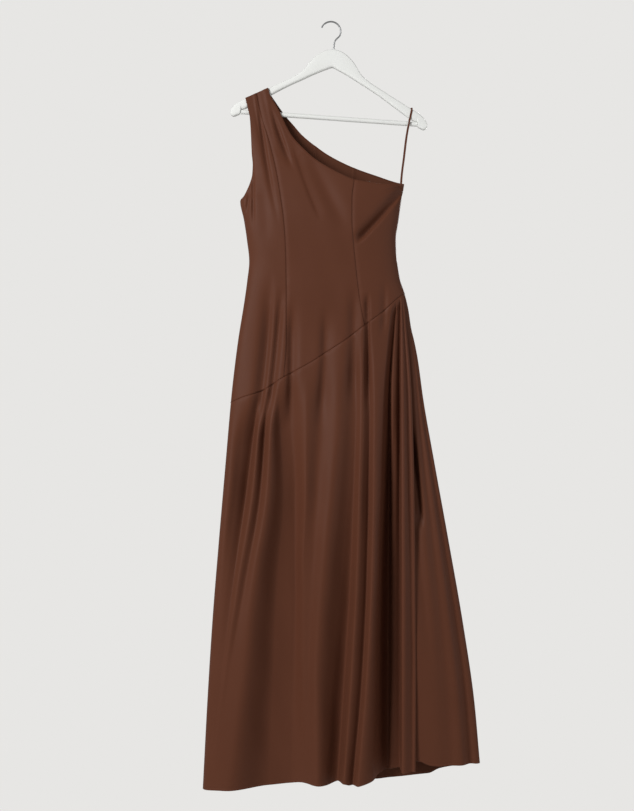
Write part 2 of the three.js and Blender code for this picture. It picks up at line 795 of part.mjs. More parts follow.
// The hook: a round over the origin, then a bend back to the stem, which stands on the wood.
function hangerHook() {
  const middle = HOOK_WIRE / 2 - HOOK_RADIUS;
  const route = [];
  for (let degrees = HOOK_ROUND.from; degrees >= HOOK_ROUND.to; degrees -= HOOK_ROUND.step) {
    const angle = THREE.MathUtils.degToRad(degrees);
    route.push(new THREE.Vector3(HOOK_RADIUS * Math.cos(angle), 0, middle + HOOK_RADIUS * Math.sin(angle)));
  }
  for (const { side, z } of HOOK_BEND) {
    route.push(new THREE.Vector3(HANGER_CENTRE + side, 0, z));
  }
  const section = new THREE.Shape();
  section.absarc(0, 0, HOOK_WIRE / 2, 0, 2 * Math.PI);
  return new THREE.ExtrudeGeometry(section, {
    steps: WIRE_STEPS,
    curveSegments: WIRE_SIDES / 2,
    extrudePath: new THREE.CatmullRomCurve3(route, false, "centripetal"),
  });
}

const satin = new THREE.MeshStandardMaterial({ color: 0x5c3a2b, roughness: 0.42, side: THREE.DoubleSide });
const ribbon = new THREE.MeshStandardMaterial({ color: 0x5a3626, roughness: 0.4 });
const paintedWood = new THREE.MeshStandardMaterial({ color: 0xe3e3de, roughness: 0.5 });
const steel = new THREE.MeshStandardMaterial({ color: 0xc9cacb, roughness: 0.25, metalness: 1 });

function piece(name, geometry, material) {
  const mesh = new THREE.Mesh(geometry, material);
  mesh.name = name;
  return mesh;
}

const dress = new THREE.Group();
for (const [name, geometry] of Object.entries(bodicePanels(-1, FRONT_SEAMS))) {
  dress.add(piece(`bodice_front_${name}`, geometry, satin));
}
for (const [name, geometry] of Object.entries(bodicePanels(1, BACK_SEAMS))) {
  dress.add(piece(`bodice_back_${name}`, geometry, satin));
}
dress.add(piece("skirt_front", skirtFront(), satin));
dress.add(piece("skirt_back", skirtBack(), satin));
dress.add(piece("hanger_loop", ribbonLoop(), ribbon));

const hanger = new THREE.Group();
hanger.rotation.y = LEAN;
hanger.add(piece("hanger_body", hangerBody(), paintedWood));
hanger.add(piece("hanger_bar", hangerBar(), paintedWood));
hanger.add(piece("hanger_hook", hangerHook(), steel));

const part = new THREE.Group();
part.add(dress, hanger);

export default part;
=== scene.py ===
"""The looks of a one-shoulder satin dress on its hanger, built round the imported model.

Cloth is worked out as height over the hanger's plane: a level section is a superellipse, long folds and
creases are sunk into it, seams are fine grooves, and a closed wall is made behind it.
"""

import math

import bpy
import numpy as np
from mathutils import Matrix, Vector


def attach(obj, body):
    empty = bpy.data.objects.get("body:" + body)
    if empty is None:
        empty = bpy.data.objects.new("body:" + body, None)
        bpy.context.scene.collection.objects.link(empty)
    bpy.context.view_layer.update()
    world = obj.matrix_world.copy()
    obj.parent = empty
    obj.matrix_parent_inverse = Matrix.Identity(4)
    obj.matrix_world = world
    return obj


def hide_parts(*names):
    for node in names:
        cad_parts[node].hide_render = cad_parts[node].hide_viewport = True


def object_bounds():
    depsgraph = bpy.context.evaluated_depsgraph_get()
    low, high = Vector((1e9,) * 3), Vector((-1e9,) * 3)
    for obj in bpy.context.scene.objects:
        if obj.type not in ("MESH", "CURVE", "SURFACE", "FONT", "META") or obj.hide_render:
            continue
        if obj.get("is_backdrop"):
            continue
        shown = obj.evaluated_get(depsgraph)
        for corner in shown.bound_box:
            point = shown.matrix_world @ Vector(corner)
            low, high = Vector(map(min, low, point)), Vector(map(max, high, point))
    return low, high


bl_info = {
    "name": "One-shoulder dress on a hanger",
    "version": (1, 0, 0),
    "blender": (4, 5, 0),
    "location": "3D View > Sidebar > Dress",
    "description": "Satin dress with seams, folds and hems on a painted hanger, with a studio stage",
    "category": "Add Mesh",
}

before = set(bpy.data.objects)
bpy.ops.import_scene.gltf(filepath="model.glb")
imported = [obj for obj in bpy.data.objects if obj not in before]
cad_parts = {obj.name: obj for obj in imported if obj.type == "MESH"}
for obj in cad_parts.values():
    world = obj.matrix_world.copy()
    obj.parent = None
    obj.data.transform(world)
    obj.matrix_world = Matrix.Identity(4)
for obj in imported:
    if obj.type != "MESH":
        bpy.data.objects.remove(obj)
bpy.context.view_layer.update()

MM = 0.001  # shapes are worked out in millimetres and put into meshes in metres

# Cloth
SEAM = 0.06  # gap between two pieces that are sewn together, closed by their rounded rims
WAIST_SEAM = 0.1  # the same gap along the slanting waist seam, measured upwards
RING_POWER = 3  # power of the superellipse that a level section of the dress follows
ROUND_POWER = 2.3  # the same where the back skirt comes round to the front
BODICE_FINE = 0.72  # the bodice's grid against the skirt's
REST_GAP = 0.7  # gap between the strap and the hanger's arm that carries it
CAD_WALL = 1.2  # thickness of the cloth's wall in the solids
SHOULDER_DROP = 5  # height over which the strap turns from the arm's top to its side
SHOULDER_POWER = 3  # squareness of that turn
ROLL_START = 4  # from the neck point to where the neckline's edge starts to lean inwards
ROLL_WIDE = 1.8  # half width of the leaning edge
STITCH_WIDE = 0.9  # half width of the line that a row of stitches sinks into the cloth
NECK_STITCH = 6.5  # from the neckline's edge to its stitches
NECK_STITCH_DEEP = 0.25
HEM_WIDE = 5  # width of the narrow turned hem
HEM_STITCH_DEEP = 0.35
SEWN_BULGE = 0.08  # how far a wall's rim stands out at a seam
FREE_BULGE = 0.4  # the same at a free edge, as a share of the wall's thickness

# Hanger, in its own frame, which leans clockwise
LEAN = math.radians(4.1)
HANGER_CENTRE = 9.2  # from the hook's top to the stem, across
HANGER_THICK = 14
HANGER_EDGE = 3.5  # radius of the rounded edges
HANGER_BEVEL = 6.5  # height of the bevel along the underside
BEVEL_DEEP = 0.7  # its depth as a share of its height
MOST_ROUND = 0.98  # most of the arm's half height that an edge's rounding may take
BAR_DIAMETER = 10
BAR_HEIGHT = -208
BAR_SEAT = 193  # from the stem to the face that the bar's end meets
BAR_GAP = 0.5  # between that face and the bar's end
BAR_STEPS = (0, 0.6)  # the bar's last rings, in from its end
BAR_RINGS, BAR_SIDES = 60, 40
HOOK_WIRE = 3.5
HOOK_RINGS, HOOK_SIDES = 180, 20
HOOK_RADIUS = 21.5  # from the middle of the hook's round to the middle of the wire

# Ribbon loop
RIBBON_WIDE = 4
RIBBON_THICK = 0.7
RIBBON_OUT = 178  # from the stem to where it crosses the arm
RIBBON_CLEAR = 1.7  # the arm slopes under the ribbon's width
RIBBON_OFF = 0.8  # from the ribbon's middle to the cloth or wood that it lies against
RIBBON_POWER = 3.5  # power of the superellipse of its section
RIBBON_RINGS, RIBBON_SIDES = 260, 16


def table(names, *rows):
    """A short table's columns as arrays, by name."""
    return dict(zip(names.split(), np.array(rows, float).T))


# Left edge seen from the front: the armhole down to its tip, then the side seam.
LEFT = table(
    "z x",
    (-140, -192),
    (-166, -187),
    (-186, -182.5),
    (-208, -177.5),
    (-245, -175),
    (-288, -173),
    (-312, -171),
    (-332, -172),
    (-351, -177),
    (-367, -184),
    (-379, -190.5),
    (-389.5, -198.5),
    (-430, -190.5),
    (-473, -184),
    (-521, -179),
    (-560, -183),
    (-604, -189),
    (-691, -203),
    (-778, -214),
    (-826, -219),
    (-952, -230),
    (-1126, -245),
    (-1300, -259),
    (-1474, -270),
    (-1664, -280),
)

# Right edge: the side seam of the bodice, then the back skirt where it comes round to the front.
RIGHT = table(
    "z x",
    (-140, 160),
    (-351, 158),
    (-386, 152),
    (-430, 146),
    (-473, 140),
    (-508, 141),
    (-534, 144.5),
    (-560, 149),
    (-590, 159),
    (-626, 167.5),
    (-663, 173),
    (-695, 180.5),
    (-734, 188),
    (-821, 200),
    (-952, 223),
    (-1126, 254.5),
    (-1300, 285),
    (-1474, 310.5),
    (-1611, 323),
)

# How far the front and back stand out of the hanger's plane at each height.
DEPTH = table(
    "z front back",
    (-140, 10.2, 10.2),
    (-215, 10.8, 10.8),
    (-300, 25, 13),
    (-430, 45, 18),
    (-560, 37, 20),
    (-700, 30, 22),
    (-830, 36, 26),
    (-1000, 43, 32),
    (-1300, 50, 40),
    (-1664, 55, 45),
)

# Half of the open armhole between the front's edge and the back's.
ARMHOLE_TIP = -389.5
ARMHOLE = table(
    "z half",
    (-140, 9.6),
    (-215, 10),
    (-300, 11),
    (-351, 9),
    (-379, 3.5),
    (ARMHOLE_TIP, 0.15),
)

# Princess seams that part the bodice into three panels, front and back.
FRONT_SEAMS = table(
    "z strap_side open_side",
    (-140, -165, 51),
    (-208, -151, 50),
    (-256, -136, 49),
    (-299, -125, 49),
    (-343, -116, 49),
    (-386, -109, 44.5),
    (-430, -103, 44),
    (-484, -99, 47.5),
    (-539, -97.5, 53),
    (-604, -97, 61),
    (-691, -97, 79),
    (-771, -102, 98),
)
BACK_SEAMS = table(
    "z strap_side open_side",
    (-140, -34, 50),
    (-270, -36, 49),
    (-386, -42, 47),
    (-484, -48, 49),
    (-604, -54, 60),
    (-760, -62, 82),
)

# The neckline runs from the neck point on the strap to the right underarm corner.
NECK_POINT = -138.2
NECK_TURN = (0, 0.15, 0.5, 1.2, 2.4)  # columns right of the neck point, where the edge turns over the arm
NECKLINE = table(
    "x front back",
    (-138.2, -143.1, -143.1),
    (-138.05, -143.4, -143.4),
    (-137.7, -144.4, -144.4),
    (-137, -148.5, -147.5),
    (-131.6, -164, -157),
    (-122.9, -177.5, -170),
    (-112, -197.3, -186),
    (-97, -230, -206),
    (-85, -250, -219.5),
    (-64, -274.5, -243.5),
    (-36, -300.5, -266.5),
    (-8, -319, -286),
    (18.5, -333.5, -300.5),
    (49, -346.5, -314.5),
    (99, -354.3, -332.5),
    (138, -357.2, -346),
    (158, -358, -351.5),
)

# The waist seam slants up from the left side to the right.
WAIST = table(
    "x z",
    (-222, -827),
    (-193, -816),
    (-166.5, -807),
    (-140, -796),
    (-127, -787),
    (-102, -771.5),
    (-76, -757.5),
    (-42, -738.5),
    (-10, -717.5),
    (24, -696),
    (57, -671),
    (72, -659.5),
    (108, -633),
    (127, -616),
    (147, -597.5),
    (160, -588),
)

# The hem of the front, of the back, and of the back where it comes round to the front.
HEM = table(
    "x front back round",
    (-280, -1664, -1664, -1664),
    (-240, -1661, -1663, -1664),
    (-166, -1660, -1660, -1664),
    (-134, -1659, -1659, -1664),
    (-90, -1656, -1658, -1664),
    (-64, -1653, -1658, -1662),
    (-38, -1656, -1658, -1658),
    (-12, -1657, -1658, -1652),
    (13, -1651, -1658, -1646),
    (26, -1646, -1658, -1643),
    (40, -1650, -1657, -1640),
    (77, -1644, -1656, -1630),
    (90, -1640, -1656, -1625),
    (101, -1631, -1655, -1620),
    (127, -1625, -1650, -1610),
    (158, -1620, -1646, -1600),
    (185, -1619, -1644, -1599),
    (214, -1617, -1643, -1609),
    (238, -1617, -1632, -1611),
    (290, -1617, -1616, -1611),
    (323, -1617, -1611, -1611),
)

# Long folds of the front skirt. Each row is a line from waist to hem, a crest or a trough: its place
# across at six heights, how deep it lies behind the skirt's round section there, and how sharply the
# cloth turns at it, from 0 for soft to 1 for a crease.
FOLD_HEIGHTS = (-604, -821, -1017, -1213, -1409, -1648)
FRONT_FOLDS = {
    "side seam": ((-189, -219, -236, -252, -266, -279), (0, 0, 0, 0, 0, 0), 0),
    "first crest": ((-184, -212, -226, -245, -258, -272), (0, 0, 0, 0, 0, 0), 0),
    "slope of the first trough": ((-162, -184, -204, -228, -248, -267), (4, 12, 15, 5, 1, 0), 0),
    "first trough": ((-141, -161, -184, -212, -237, -263), (8, 25, 31, 12, 2, 0), 0.3),
    "second crest": ((-132, -153, -170, -201, -229, -259), (2, 7, 7, 2, 0, 0), 0),
    "second trough": ((-118, -140, -153, -186, -220, -253), (7, 21, 19, 9, 1, 0), 0.3),
    "third crest": ((-109, -128, -139, -170, -194, -226), (1, 0, 0, 0, 0, 0), 0),
    "slope of the third trough": ((-97, -112, -103, -117, -126, -134), (4, 15, 27, 36, 45, 54), 0),
    "third trough": ((-88, -92, -80, -80, -84, -90), (5, 19, 33, 42, 51, 60), 0),
    "fourth crest": ((-56, -55, -56, -62, -62, -52), (0, 0, 6, 22, 35, 46), 0.2),
    "fourth trough": ((-14, -21, -32, -44, -50, -42), (4, 9, 13, 19, 30, 38), 0),
    "fifth crest": ((13, 14, -2, -20, -32, -30), (0, 0, 0, 5, 17, 32), 0),
    "fifth trough": ((50, 51, 46, 39, 28, 13), (4, 10, 20, 35, 51, 60), 0),
    "sixth crest": ((62, 65, 60, 54, 43, 26), (1, 2, 3, 6, 9, 11), 0),
    "sixth trough": ((75, 82, 80, 76, 67, 46), (6, 10, 17, 20, 22, 23), 0.6),
    "seventh crest": ((88, 93, 91, 86, 76, 57), (0, 0, 0, 0, 0, 0), 0),
    "brow of the deep fold": ((129, 111, 106, 101, 95, 86), (1, 6, 9, 12, 14, 15), 0),
    "wall of the deep fold": ((136, 120, 115, 109, 106, 101), (5, 20, 35, 44, 47, 38), 0),
    "deep fold": ((140, 127, 126, 125, 124, 123), (8, 29, 53, 64, 71, 64), 0),
    "edge of the ledge": ((142, 131, 132, 132, 132, 132), (5, 15, 38, 54, 63, 58), 0),
    "ledge": ((145, 139, 139, 140, 140, 140), (6, 17, 35, 52, 61, 58), 0),
    "inner edge of the strip": ((148.5, 148.5, 148.5, 148.5, 148.5, 148.5), (7, 25, 41, 54, 62, 58), 0.8),
    "left edge of the strip": ((149.5, 150, 150, 150, 150, 150), (2, 2, 3, 3, 3, 3), 0.3),
    "crest of the strip": ((151.5, 155, 155, 155, 154, 153), (0, 0, 0, 0, 0, 0), 0),
    "groove of the strip": ((153, 165, 169, 172, 174, 173), (1, 8, 11, 13, 14, 11), 0.1),
    "crest beside the slit": ((155, 170, 174, 177, 178, 177), (0, 4, 6, 10, 11, 9), 0),
    "slit edge": ((157, 174, 178, 180, 181, 180), (0, 6, 7, 11, 12, 11), 0.3),
}
FOLD_RAMP = 110  # height below the waist seam over which the folds reach their depth
SLIT_RAMP = 30  # the same beside the slit, where the folds start at once
SLIT_RAMP_FROM = 90  # x from which the one turns into the other
SLIT_RAMP_WIDE = 20  # width over which it does
SIDE_CALM = 20  # width beside the side seam over which the unevenness starts

# Gap between the slit edge and the back skirt behind it, and how far the back skirt is tucked in.
SLIT = table(
    "z gap tuck",
    (-560, 12, 2),
    (-604, 12, 2),
    (-686, 11, 2.5),
    (-760, 12, 4),
    (-820, 14, 5),
    (-900, 17, 7),
    (-1040, 16, 7),
    (-1160, 9, 7),
    (-1300, 8, 7),
    (-1450, 10, 7),
    (-1664, 15, 7),
)

# Folds of the back skirt. turn runs from -1 at the tucked edge through 0 at the right side to 1 at the
# left side seam, and the recesses are at the waist, halfway down and at the hem.
BACK_FOLD_HEIGHTS = (-640, -1100, -1650)
BACK_FOLDS = table(
    "turn waist middle hem",
    (-1, 0, 4, 4),
    (-0.8, 0, 1, 1),
    (-0.64, 0, 5, 5),
    (-0.53, 0, 1, 1),
    (-0.33, 0, 7, 14),
    (-0.16, 0, 2, 4),
    (0, 0, 0, 0),
    (0.12, 0, 1, 0),
    (0.22, 2, 9, 14),
    (0.31, 0, 0, 0),
    (0.41, 3, 12, 17),
    (0.5, 0, 1, 0),
    (0.58, 2, 8, 13),
    (0.68, 0, 0, 0),
    (0.79, 3, 9, 15),
    (0.88, 0, 0, 0),
    (1, 0, 0, 0),
)

# Creases, each a soft trough from one end to the other. bow lifts its middle to the left of that
# direction, the two half widths lie on its left and on its right, and the last two are the shares of its
# length over which it fades in and out.
CREASE_COLUMNS = "x1 z1 x2 z2 bow left_half right_half deep fade_in fade_out"
FRONT_CREASES = table(
    CREASE_COLUMNS,
    (-162, -166, -109, -470, -2, 4, 7, 6.5, 0.3, 0.6),
    (-140, -168, -84, -330, 2, 4, 7, 6, 0.5, 0.4),
    (-170, -146, -146, -300, 0, 5, 2.5, -1.7, 0.02, 0.5),
    (-147, -142, -112, -300, 0, 7, 3, -1.8, 0.02, 0.6),
    (-86, -255, -20, -443, -4, 14, 5, 2.6, 0.3, 0.2),
    (-56, -277, 46, -473, -5, 16, 18, 4, 0.2, 0.3),
    (157, -366, 49, -488, 3, 4, 12, 14, 0.02, 0.2),
    (154, -361, 112, -371, 0, 3, 3, 2.5, 0.02, 0.5),
    (-170, -326, -168, -462, 0, 3, 4, 7, 0.25, 0.5),
    (-178, -356, -186, -430, 2, 4, 4, 7, 0.3, 0.4),
    (-150, -345, -140, -500, 3, 10, 14, 2, 0.3, 0.4),
)
BACK_CREASES = table(
    CREASE_COLUMNS,
    (-150, -175, -70, -420, 5, 9, 7, 2.5, 0.2, 0.2),
    (-110, -215, -20, -470, 6, 12, 9, 2.5, 0.2, 0.2),
    (145, -375, 60, -455, -3, 9, 6, 3, 0.2, 0.2),
    (-184, -400, -120, -520, 4, 8, 10, 2.5, 0.2, 0.2),
    (30, -560, 120, -500, 3, 9, 12, 2, 0.2, 0.2),
)

# Creases that start on the bodice's front and run across the waist seam into the skirt's folds.
WAIST_CREASES = table(
    CREASE_COLUMNS,
    (-132, -530, -168, -915, 9, 7, 15, 14, 0.45, 0.25),
    (-107, -570, -141, -900, 3, 7, 9, 11, 0.3, 0.3),
    (-85, -595, -88, -880, 0, 12, 9, 10, 0.35, 0.3),
    (-12, -605, -25, -900, 2, 16, 10, 7, 0.3, 0.35),
    (48, -560, 46, -860, 1, 12, 13, 7.5, 0.3, 0.35),
    (78, -586, 79, -860, 1, 3, 8, 8, 0.12, 0.35),
    (114, -555, 110, -690, 2, 6, 8, 4, 0.4, 0.3),
)

# Creases of the back skirt where it comes round to the front, beside the slit.
SLIT_CREASES = table(
    CREASE_COLUMNS,
    (168, -850, 198, -1115, 0, 6, 11, 12.5, 0.4, 0.25),
    (176, -1020, 214, -1420, 0, 10, 14, 4, 0.3, 0.4),
)

# The ribbon's route: sewn inside the bodice, then free up to the arm, then over the arm's top. out is
# its distance from the hanger's plane, in the last table beyond the place beside the arm's face.
RIBBON_SEWN = table("x z", (150.5, -366), (151, -357), (151.5, -346))
RIBBON_FREE = table("x out z", (153, 6, -330), (157.5, 8, -295), (163, 8.6, -250))
RIBBON_TURN = table(
    "back out drop",
    (4.5, 0.4, 26.5),
    (1.5, 0, 11.5),
    (0, 0.1, 3.4),
    (0, -1.6, 0.4),
    (0, -4.8, 0),
)

# Top and underside of one arm of the hanger, from the stem out to the tip.
ARM_TOP = table(
    "out z",
    (0, -58.9),
    (13, -61.2),
    (27, -68),
    (40, -78.6),
    (49, -89),
    (56.5, -100),
    (65, -110.7),
    (82, -124),
    (109, -139.2),
    (131, -151.3),
    (152, -162.5),
    (175, -174.8),
    (188, -181.5),
    (203, -191.5),
    (210.5, -200),
    (213.6, -205.5),
    (214.6, -209.5),
)
ARM_LOW = table(
    "out z",
    (0, -98.5),
    (13, -103.5),
    (27, -110),
    (40, -116.5),
    (65, -130.3),
    (82, -139.3),
    (109, -155),
    (131, -169),
    (152, -182.5),
    (175, -196.5),
    (188, -202.4),
    (BAR_SEAT - 0.1, -202.7),
    (BAR_SEAT + 0.3, -213.5),
    (199, -216.5),
    (207, -219.5),
    (211.5, -218),
    (214, -213.5),
    (214.6, -210.5),
)


def line_through(places, values):
    """A smooth line through points that never swings past them: a cubic between each two, whose slope
    at a point is the harmonic mean of the slopes beside it, and straight beyond the ends."""
    order = np.argsort(places)
    p, q = np.asarray(places, float)[order], np.asarray(values, float)[order]
    slopes = np.diff(q) / np.diff(p)
    same_way = slopes[:-1] * slopes[1:] > 0
    total = np.where(same_way, slopes[:-1] + slopes[1:], 1)
    inner = np.where(same_way, 2 * slopes[:-1] * slopes[1:] / total, 0)
    tangents = np.concatenate([slopes[:1], inner, slopes[-1:]])

    def at(v):
        i = np.clip(np.searchsorted(p, v) - 1, 0, len(p) - 2)
        span = p[i + 1] - p[i]
        share = (v - p[i]) / span
        s = np.clip(share, 0, 1)
        cubic = q[i] + (q[i + 1] - q[i]) * s * s * (3 - 2 * s)
        cubic += span * (tangents[i] * s * (1 - s) ** 2 - tangents[i + 1] * s * s * (1 - s))
        beyond = np.where(share < 0, tangents[i] * share, tangents[i + 1] * np.maximum(share - 1, 0))
        return cubic + span * beyond

    return at


left_at = line_through(LEFT["z"], LEFT["x"])
right_at = line_through(RIGHT["z"], RIGHT["x"])
front_depth_at = line_through(DEPTH["z"], DEPTH["front"])
back_depth_at = line_through(DEPTH["z"], DEPTH["back"])
armhole_at = line_through(ARMHOLE["z"], ARMHOLE["half"])
neck_front_at = line_through(NECKLINE["x"], NECKLINE["front"])
neck_back_at = line_through(NECKLINE["x"], NECKLINE["back"])
waist_at = line_through(WAIST["x"], WAIST["z"])
hem_front_at = line_through(HEM["x"], HEM["front"])
hem_back_at = line_through(HEM["x"], HEM["back"])
hem_round_at = line_through(HEM["x"], HEM["round"])
slit_gap_at = line_through(SLIT["z"], SLIT["gap"])
slit_tuck_at = line_through(SLIT["z"], SLIT["tuck"])
slit_edge_at = line_through(FOLD_HEIGHTS, FRONT_FOLDS["slit edge"][0])
arm_top_at = line_through(ARM_TOP["out"], ARM_TOP["z"])


def from_hanger(out, up):
    """x and z in the part's frame of a point of the leaning hanger, out from its stem and up."""
    across = HANGER_CENTRE + out
    return (
        across * math.cos(LEAN) + up * math.sin(LEAN),
        -across * math.sin(LEAN) + up * math.cos(LEAN),
    )


arm_x, arm_z = from_hanger(-ARM_TOP["out"][:13], ARM_TOP["z"][:13])
shoulder_at = line_through(arm_x, arm_z + CAD_WALL + REST_GAP)  # the strap's fold line over the left arm


def smooth(share):
    """0 below 0 and 1 above 1, along a cubic between."""
    s = np.clip(share, 0, 1)
    return s * s * (3 - 2 * s)


def bell(distance, width):
    """1 at no distance, falling off as a bell curve."""
    return np.exp(-((distance / width) ** 2))


def unit(vectors):
    """Vectors brought to a length of 1."""
    return vectors / np.maximum(np.linalg.norm(vectors, axis=-1, keepdims=True), 1e-9)


def squared(value, power):
    """A cosine or sine as a superellipse of some power has it."""
    return np.sign(value) * np.abs(value) ** (2 / power)


def rounded(share, power):
    """Height of a superellipse of some power at a share of its half width."""
    return (1 - share**power) ** (1 / power)


def middle_and_half(z):
    """Middle and half width of the dress at a height."""
    left, right = left_at(z), right_at(z)
    return (left + right) / 2, (right - left) / 2


def skirt_top_at(x):
    return waist_at(x) - WAIST_SEAM / 2


def bodice_foot_at(x):
    return waist_at(x) + WAIST_SEAM / 2


def top_front_at(x):
    """Top edge of the front: the strap's fold line as far as the neck point, then the neckline."""
    return np.where(x <= NECK_POINT, shoulder_at(x), np.minimum(neck_front_at(x), shoulder_at(x)))


def top_back_at(x):
    return np.where(x <= NECK_POINT, shoulder_at(x), np.minimum(neck_back_at(x), shoulder_at(x)))


def stand_out(x, z, depth):
    """Distance from the hanger's plane: a superellipse across the level section, opened at the armhole,
    and turned over the arm at the top of the strap by a quarter of a rounder superellipse."""
    middle, half = middle_and_half(z)
    share = rounded(np.minimum(1, np.abs(x - middle) / half), RING_POWER)
    opened = np.where((x < middle) & (z > ARMHOLE_TIP), armhole_at(z), 0)
    drop = np.clip((shoulder_at(x) - z) / SHOULDER_DROP, 0, 1)
    return (opened + (depth - opened) * share) * rounded(1 - drop, SHOULDER_POWER)


def crease_depth(x, z, creases):
    """Sum of the creases' depths: along its line each fades in and out, across it is a bell curve."""
    total = np.zeros(np.broadcast(x, z).shape)
    for x1, z1, x2, z2, bow, left_half, right_half, deep, fade_in, fade_out in zip(*creases.values()):
        dx, dz = x2 - x1, z2 - z1
        length = math.hypot(dx, dz)
        along = ((x - x1) * dx + (z - z1) * dz) / length**2
        off = ((z - z1) * dx - (x - x1) * dz) / length - bow * 4 * along * (1 - along)
        half = np.where(off > 0, left_half, right_half)
        fade = smooth(along / fade_in) * smooth((1 - along) / fade_out)
        total += deep * fade * bell(off, half)
    return total


def slope_factor(line, v):
    """How much shorter the distance square to a slanting line is than the one measured straight."""
    step = 0.5
    return 1 / np.hypot(1, (line(v + step) - line(v - step)) / (2 * step))


# A seam's groove is wider on the side where its allowance lies, by these factors. The puckers beside it
# reach this far, and those of the waist seam are higher.
PRINCESS_WIDER, WAIST_WIDER = 3.5, 2.2
PRINCESS_REACH, WAIST_REACH = 9, 11
WAIST_HIGHER = 1.4
# Puckers: millimetres for each radian of the wave, radians that it wanders, millimetres for each radian
# of that wandering, and of the swell.
PRINCESS_PUCKERS = (7.1, 2.2, 31, 17.3)
WAIST_PUCKERS = (6.3, 2.5, 27, 19.1)


def puckers(place, fine, wander, turns, swell):
    """A wave along a seam, from -1 to 1, that wanders in its spacing and swells and dies away."""
    return np.sin(place / fine + wander * np.sin(place / turns)) * np.sin(place / swell)


def seam_depth(x, z, seams, sizes):
    """Grooves along the two princess seams and the waist seam, with soft puckers beside them."""
    depth = np.zeros(np.broadcast(x, z).shape)
    for name in ("strap_side", "open_side"):
        line = line_through(seams["z"], seams[name])
        off = (x - line(z)) * slope_factor(line, z)
        wide = np.where(off > 0, PRINCESS_WIDER, 1) * sizes["seam_wide"]
        depth += sizes["seam_deep"] * bell(off, wide)
        depth += sizes["pucker"] * puckers(z, *PRINCESS_PUCKERS) * bell(off, PRINCESS_REACH)
    return depth + waist_groove(x, z, sizes)


def waist_groove(x, z, sizes):
    """The groove of the waist seam and the puckers that cross it."""
    off = (z - waist_at(x)) * slope_factor(waist_at, x)
    wide = np.where(off < 0, WAIST_WIDER, 1) * sizes["seam_wide"]
    raised = sizes["pucker"] * WAIST_HIGHER * puckers(x, *WAIST_PUCKERS) * bell(off, WAIST_REACH)
    return sizes["seam_deep"] * bell(off, wide) + raised


def edge_roll(x, z, top_at, sizes):
    """How far the neckline's turned edge leans inwards, and the fine line of its understitching."""
    off = (top_at(x) - z) * slope_factor(top_at, x)
    sunk = sizes["edge_roll"] * bell(off, ROLL_WIDE)
    sunk += NECK_STITCH_DEEP * bell(off - NECK_STITCH, STITCH_WIDE)
    return np.where(x > NECK_POINT + ROLL_START, sunk, 0)


# Waves of the slight unevenness: millimetres across and downwards for each radian, where the wave
# starts, how far it wanders, both in radians, and its share of the height.
WAVES = table(
    "across down start wander share",
    (13, 61, 0, 1.7, 1),
    (21, -47, 0.6, 0, 1),
    (8.3, 29, 2.1, 0, 0.6),
)
WANDER_LONG = 83  # millimetres for each radian of that wandering
BACK_SHIFT = 40  # the back's waves against the front's, across


def drape(x, z, height):
    """Slight unevenness of hanging cloth: three crossed waves, longer downwards than across."""
    total = 0
    for across, down, start, wander, share in zip(*WAVES.values()):
        total = total + share * np.sin(x / across + z / down + start + wander * np.sin(z / WANDER_LONG))
    return height * total


def bodice_front(x, z, sizes):
    """y of the front: the section's round with creases, seams and the neckline's edge sunk into it."""
    flat = stand_out(x, z, front_depth_at(z))
    sunk = crease_depth(x, z, FRONT_CREASES) + crease_depth(x, z, WAIST_CREASES)
    sunk += seam_depth(x, z, FRONT_SEAMS, sizes) + drape(x, z, sizes["drape"])
    sunk += edge_roll(x, z, top_front_at, sizes)
    return -flat + sunk * np.clip(flat / front_depth_at(z), 0, 1)


def bodice_back(x, z, sizes):
    flat = stand_out(x, z, back_depth_at(z))
    sunk = crease_depth(x, z, BACK_CREASES) + seam_depth(x, z, BACK_SEAMS, sizes)
    sunk += drape(x + BACK_SHIFT, z, sizes["drape"])
    sunk += edge_roll(x, z, top_back_at, sizes)
    return flat - sunk * np.clip(flat / back_depth_at(z), 0, 1)


ABOVE_ALL, BELOW_ALL, HALVINGS = -100.0, -1750.0, 45


def crossing(x_at, line_at, columns):
    """The height at which each column crosses a line across the dress, by halving the interval."""
    high, low = np.full(columns, ABOVE_ALL), np.full(columns, BELOW_ALL)
    for _ in range(HALVINGS):
        z = (high + low) / 2
        above = z > line_at(x_at(z))
        high, low = np.where(above, z, high), np.where(above, low, z)
    return (high + low) / 2


EDGE_STEPS = np.array((0, 0.35, 0.8, 1.4, 2.2, 3.4, 5.2))  # mm from a seam to the first rows beside it
HEM_STEPS = np.array((0, 0.35, 0.9, 1.8, 2.9, 3.9, 4.6, 5.2, 5.9, 7, 9))  # mm above a hem
TURN_STEPS = np.array((0, 0.01, 0.05, 0.14, 0.32, 0.65, 1.2, 2, 3.2, 5, 7.5))  # mm below the top edge


def rows_between(high, low, count, first, last):
    """Heights of rows by columns: close together at both ends, by distance, and even between."""
    height = high - low
    middle = np.linspace(0, 1, count)[1:-1, None]
    even = first[-1] + (height - first[-1] - last[-1]) * middle
    down = np.vstack([
        np.repeat(first[:, None], high.size, 1),
        even,
        height - last[::-1, None],
    ])
    return high - down


def cloth_normals(points, outward):
    """Unit directions square to a grid of points, from the steps along its rows and its columns."""
    along = np.gradient(points, axis=1)
    down = np.gradient(points, axis=0)
    return unit(np.cross(along, down) * outward)


def seal(normals, seam):
    """Normals kept in the plane of each seam, so that a wall doesn't cross into its neighbour."""
    return unit(normals * ~seam)


def border(grid):
    """The grid's border points in a ring, and for each the next point inside."""
    ring = np.concatenate([grid[0, :], grid[1:, -1], grid[-1, -2::-1], grid[-2:0:-1, 0]])
    inside = np.concatenate([grid[1, :], grid[1:, -2], grid[-2, -2::-1], grid[-2:0:-1, 1]])
    return ring, inside


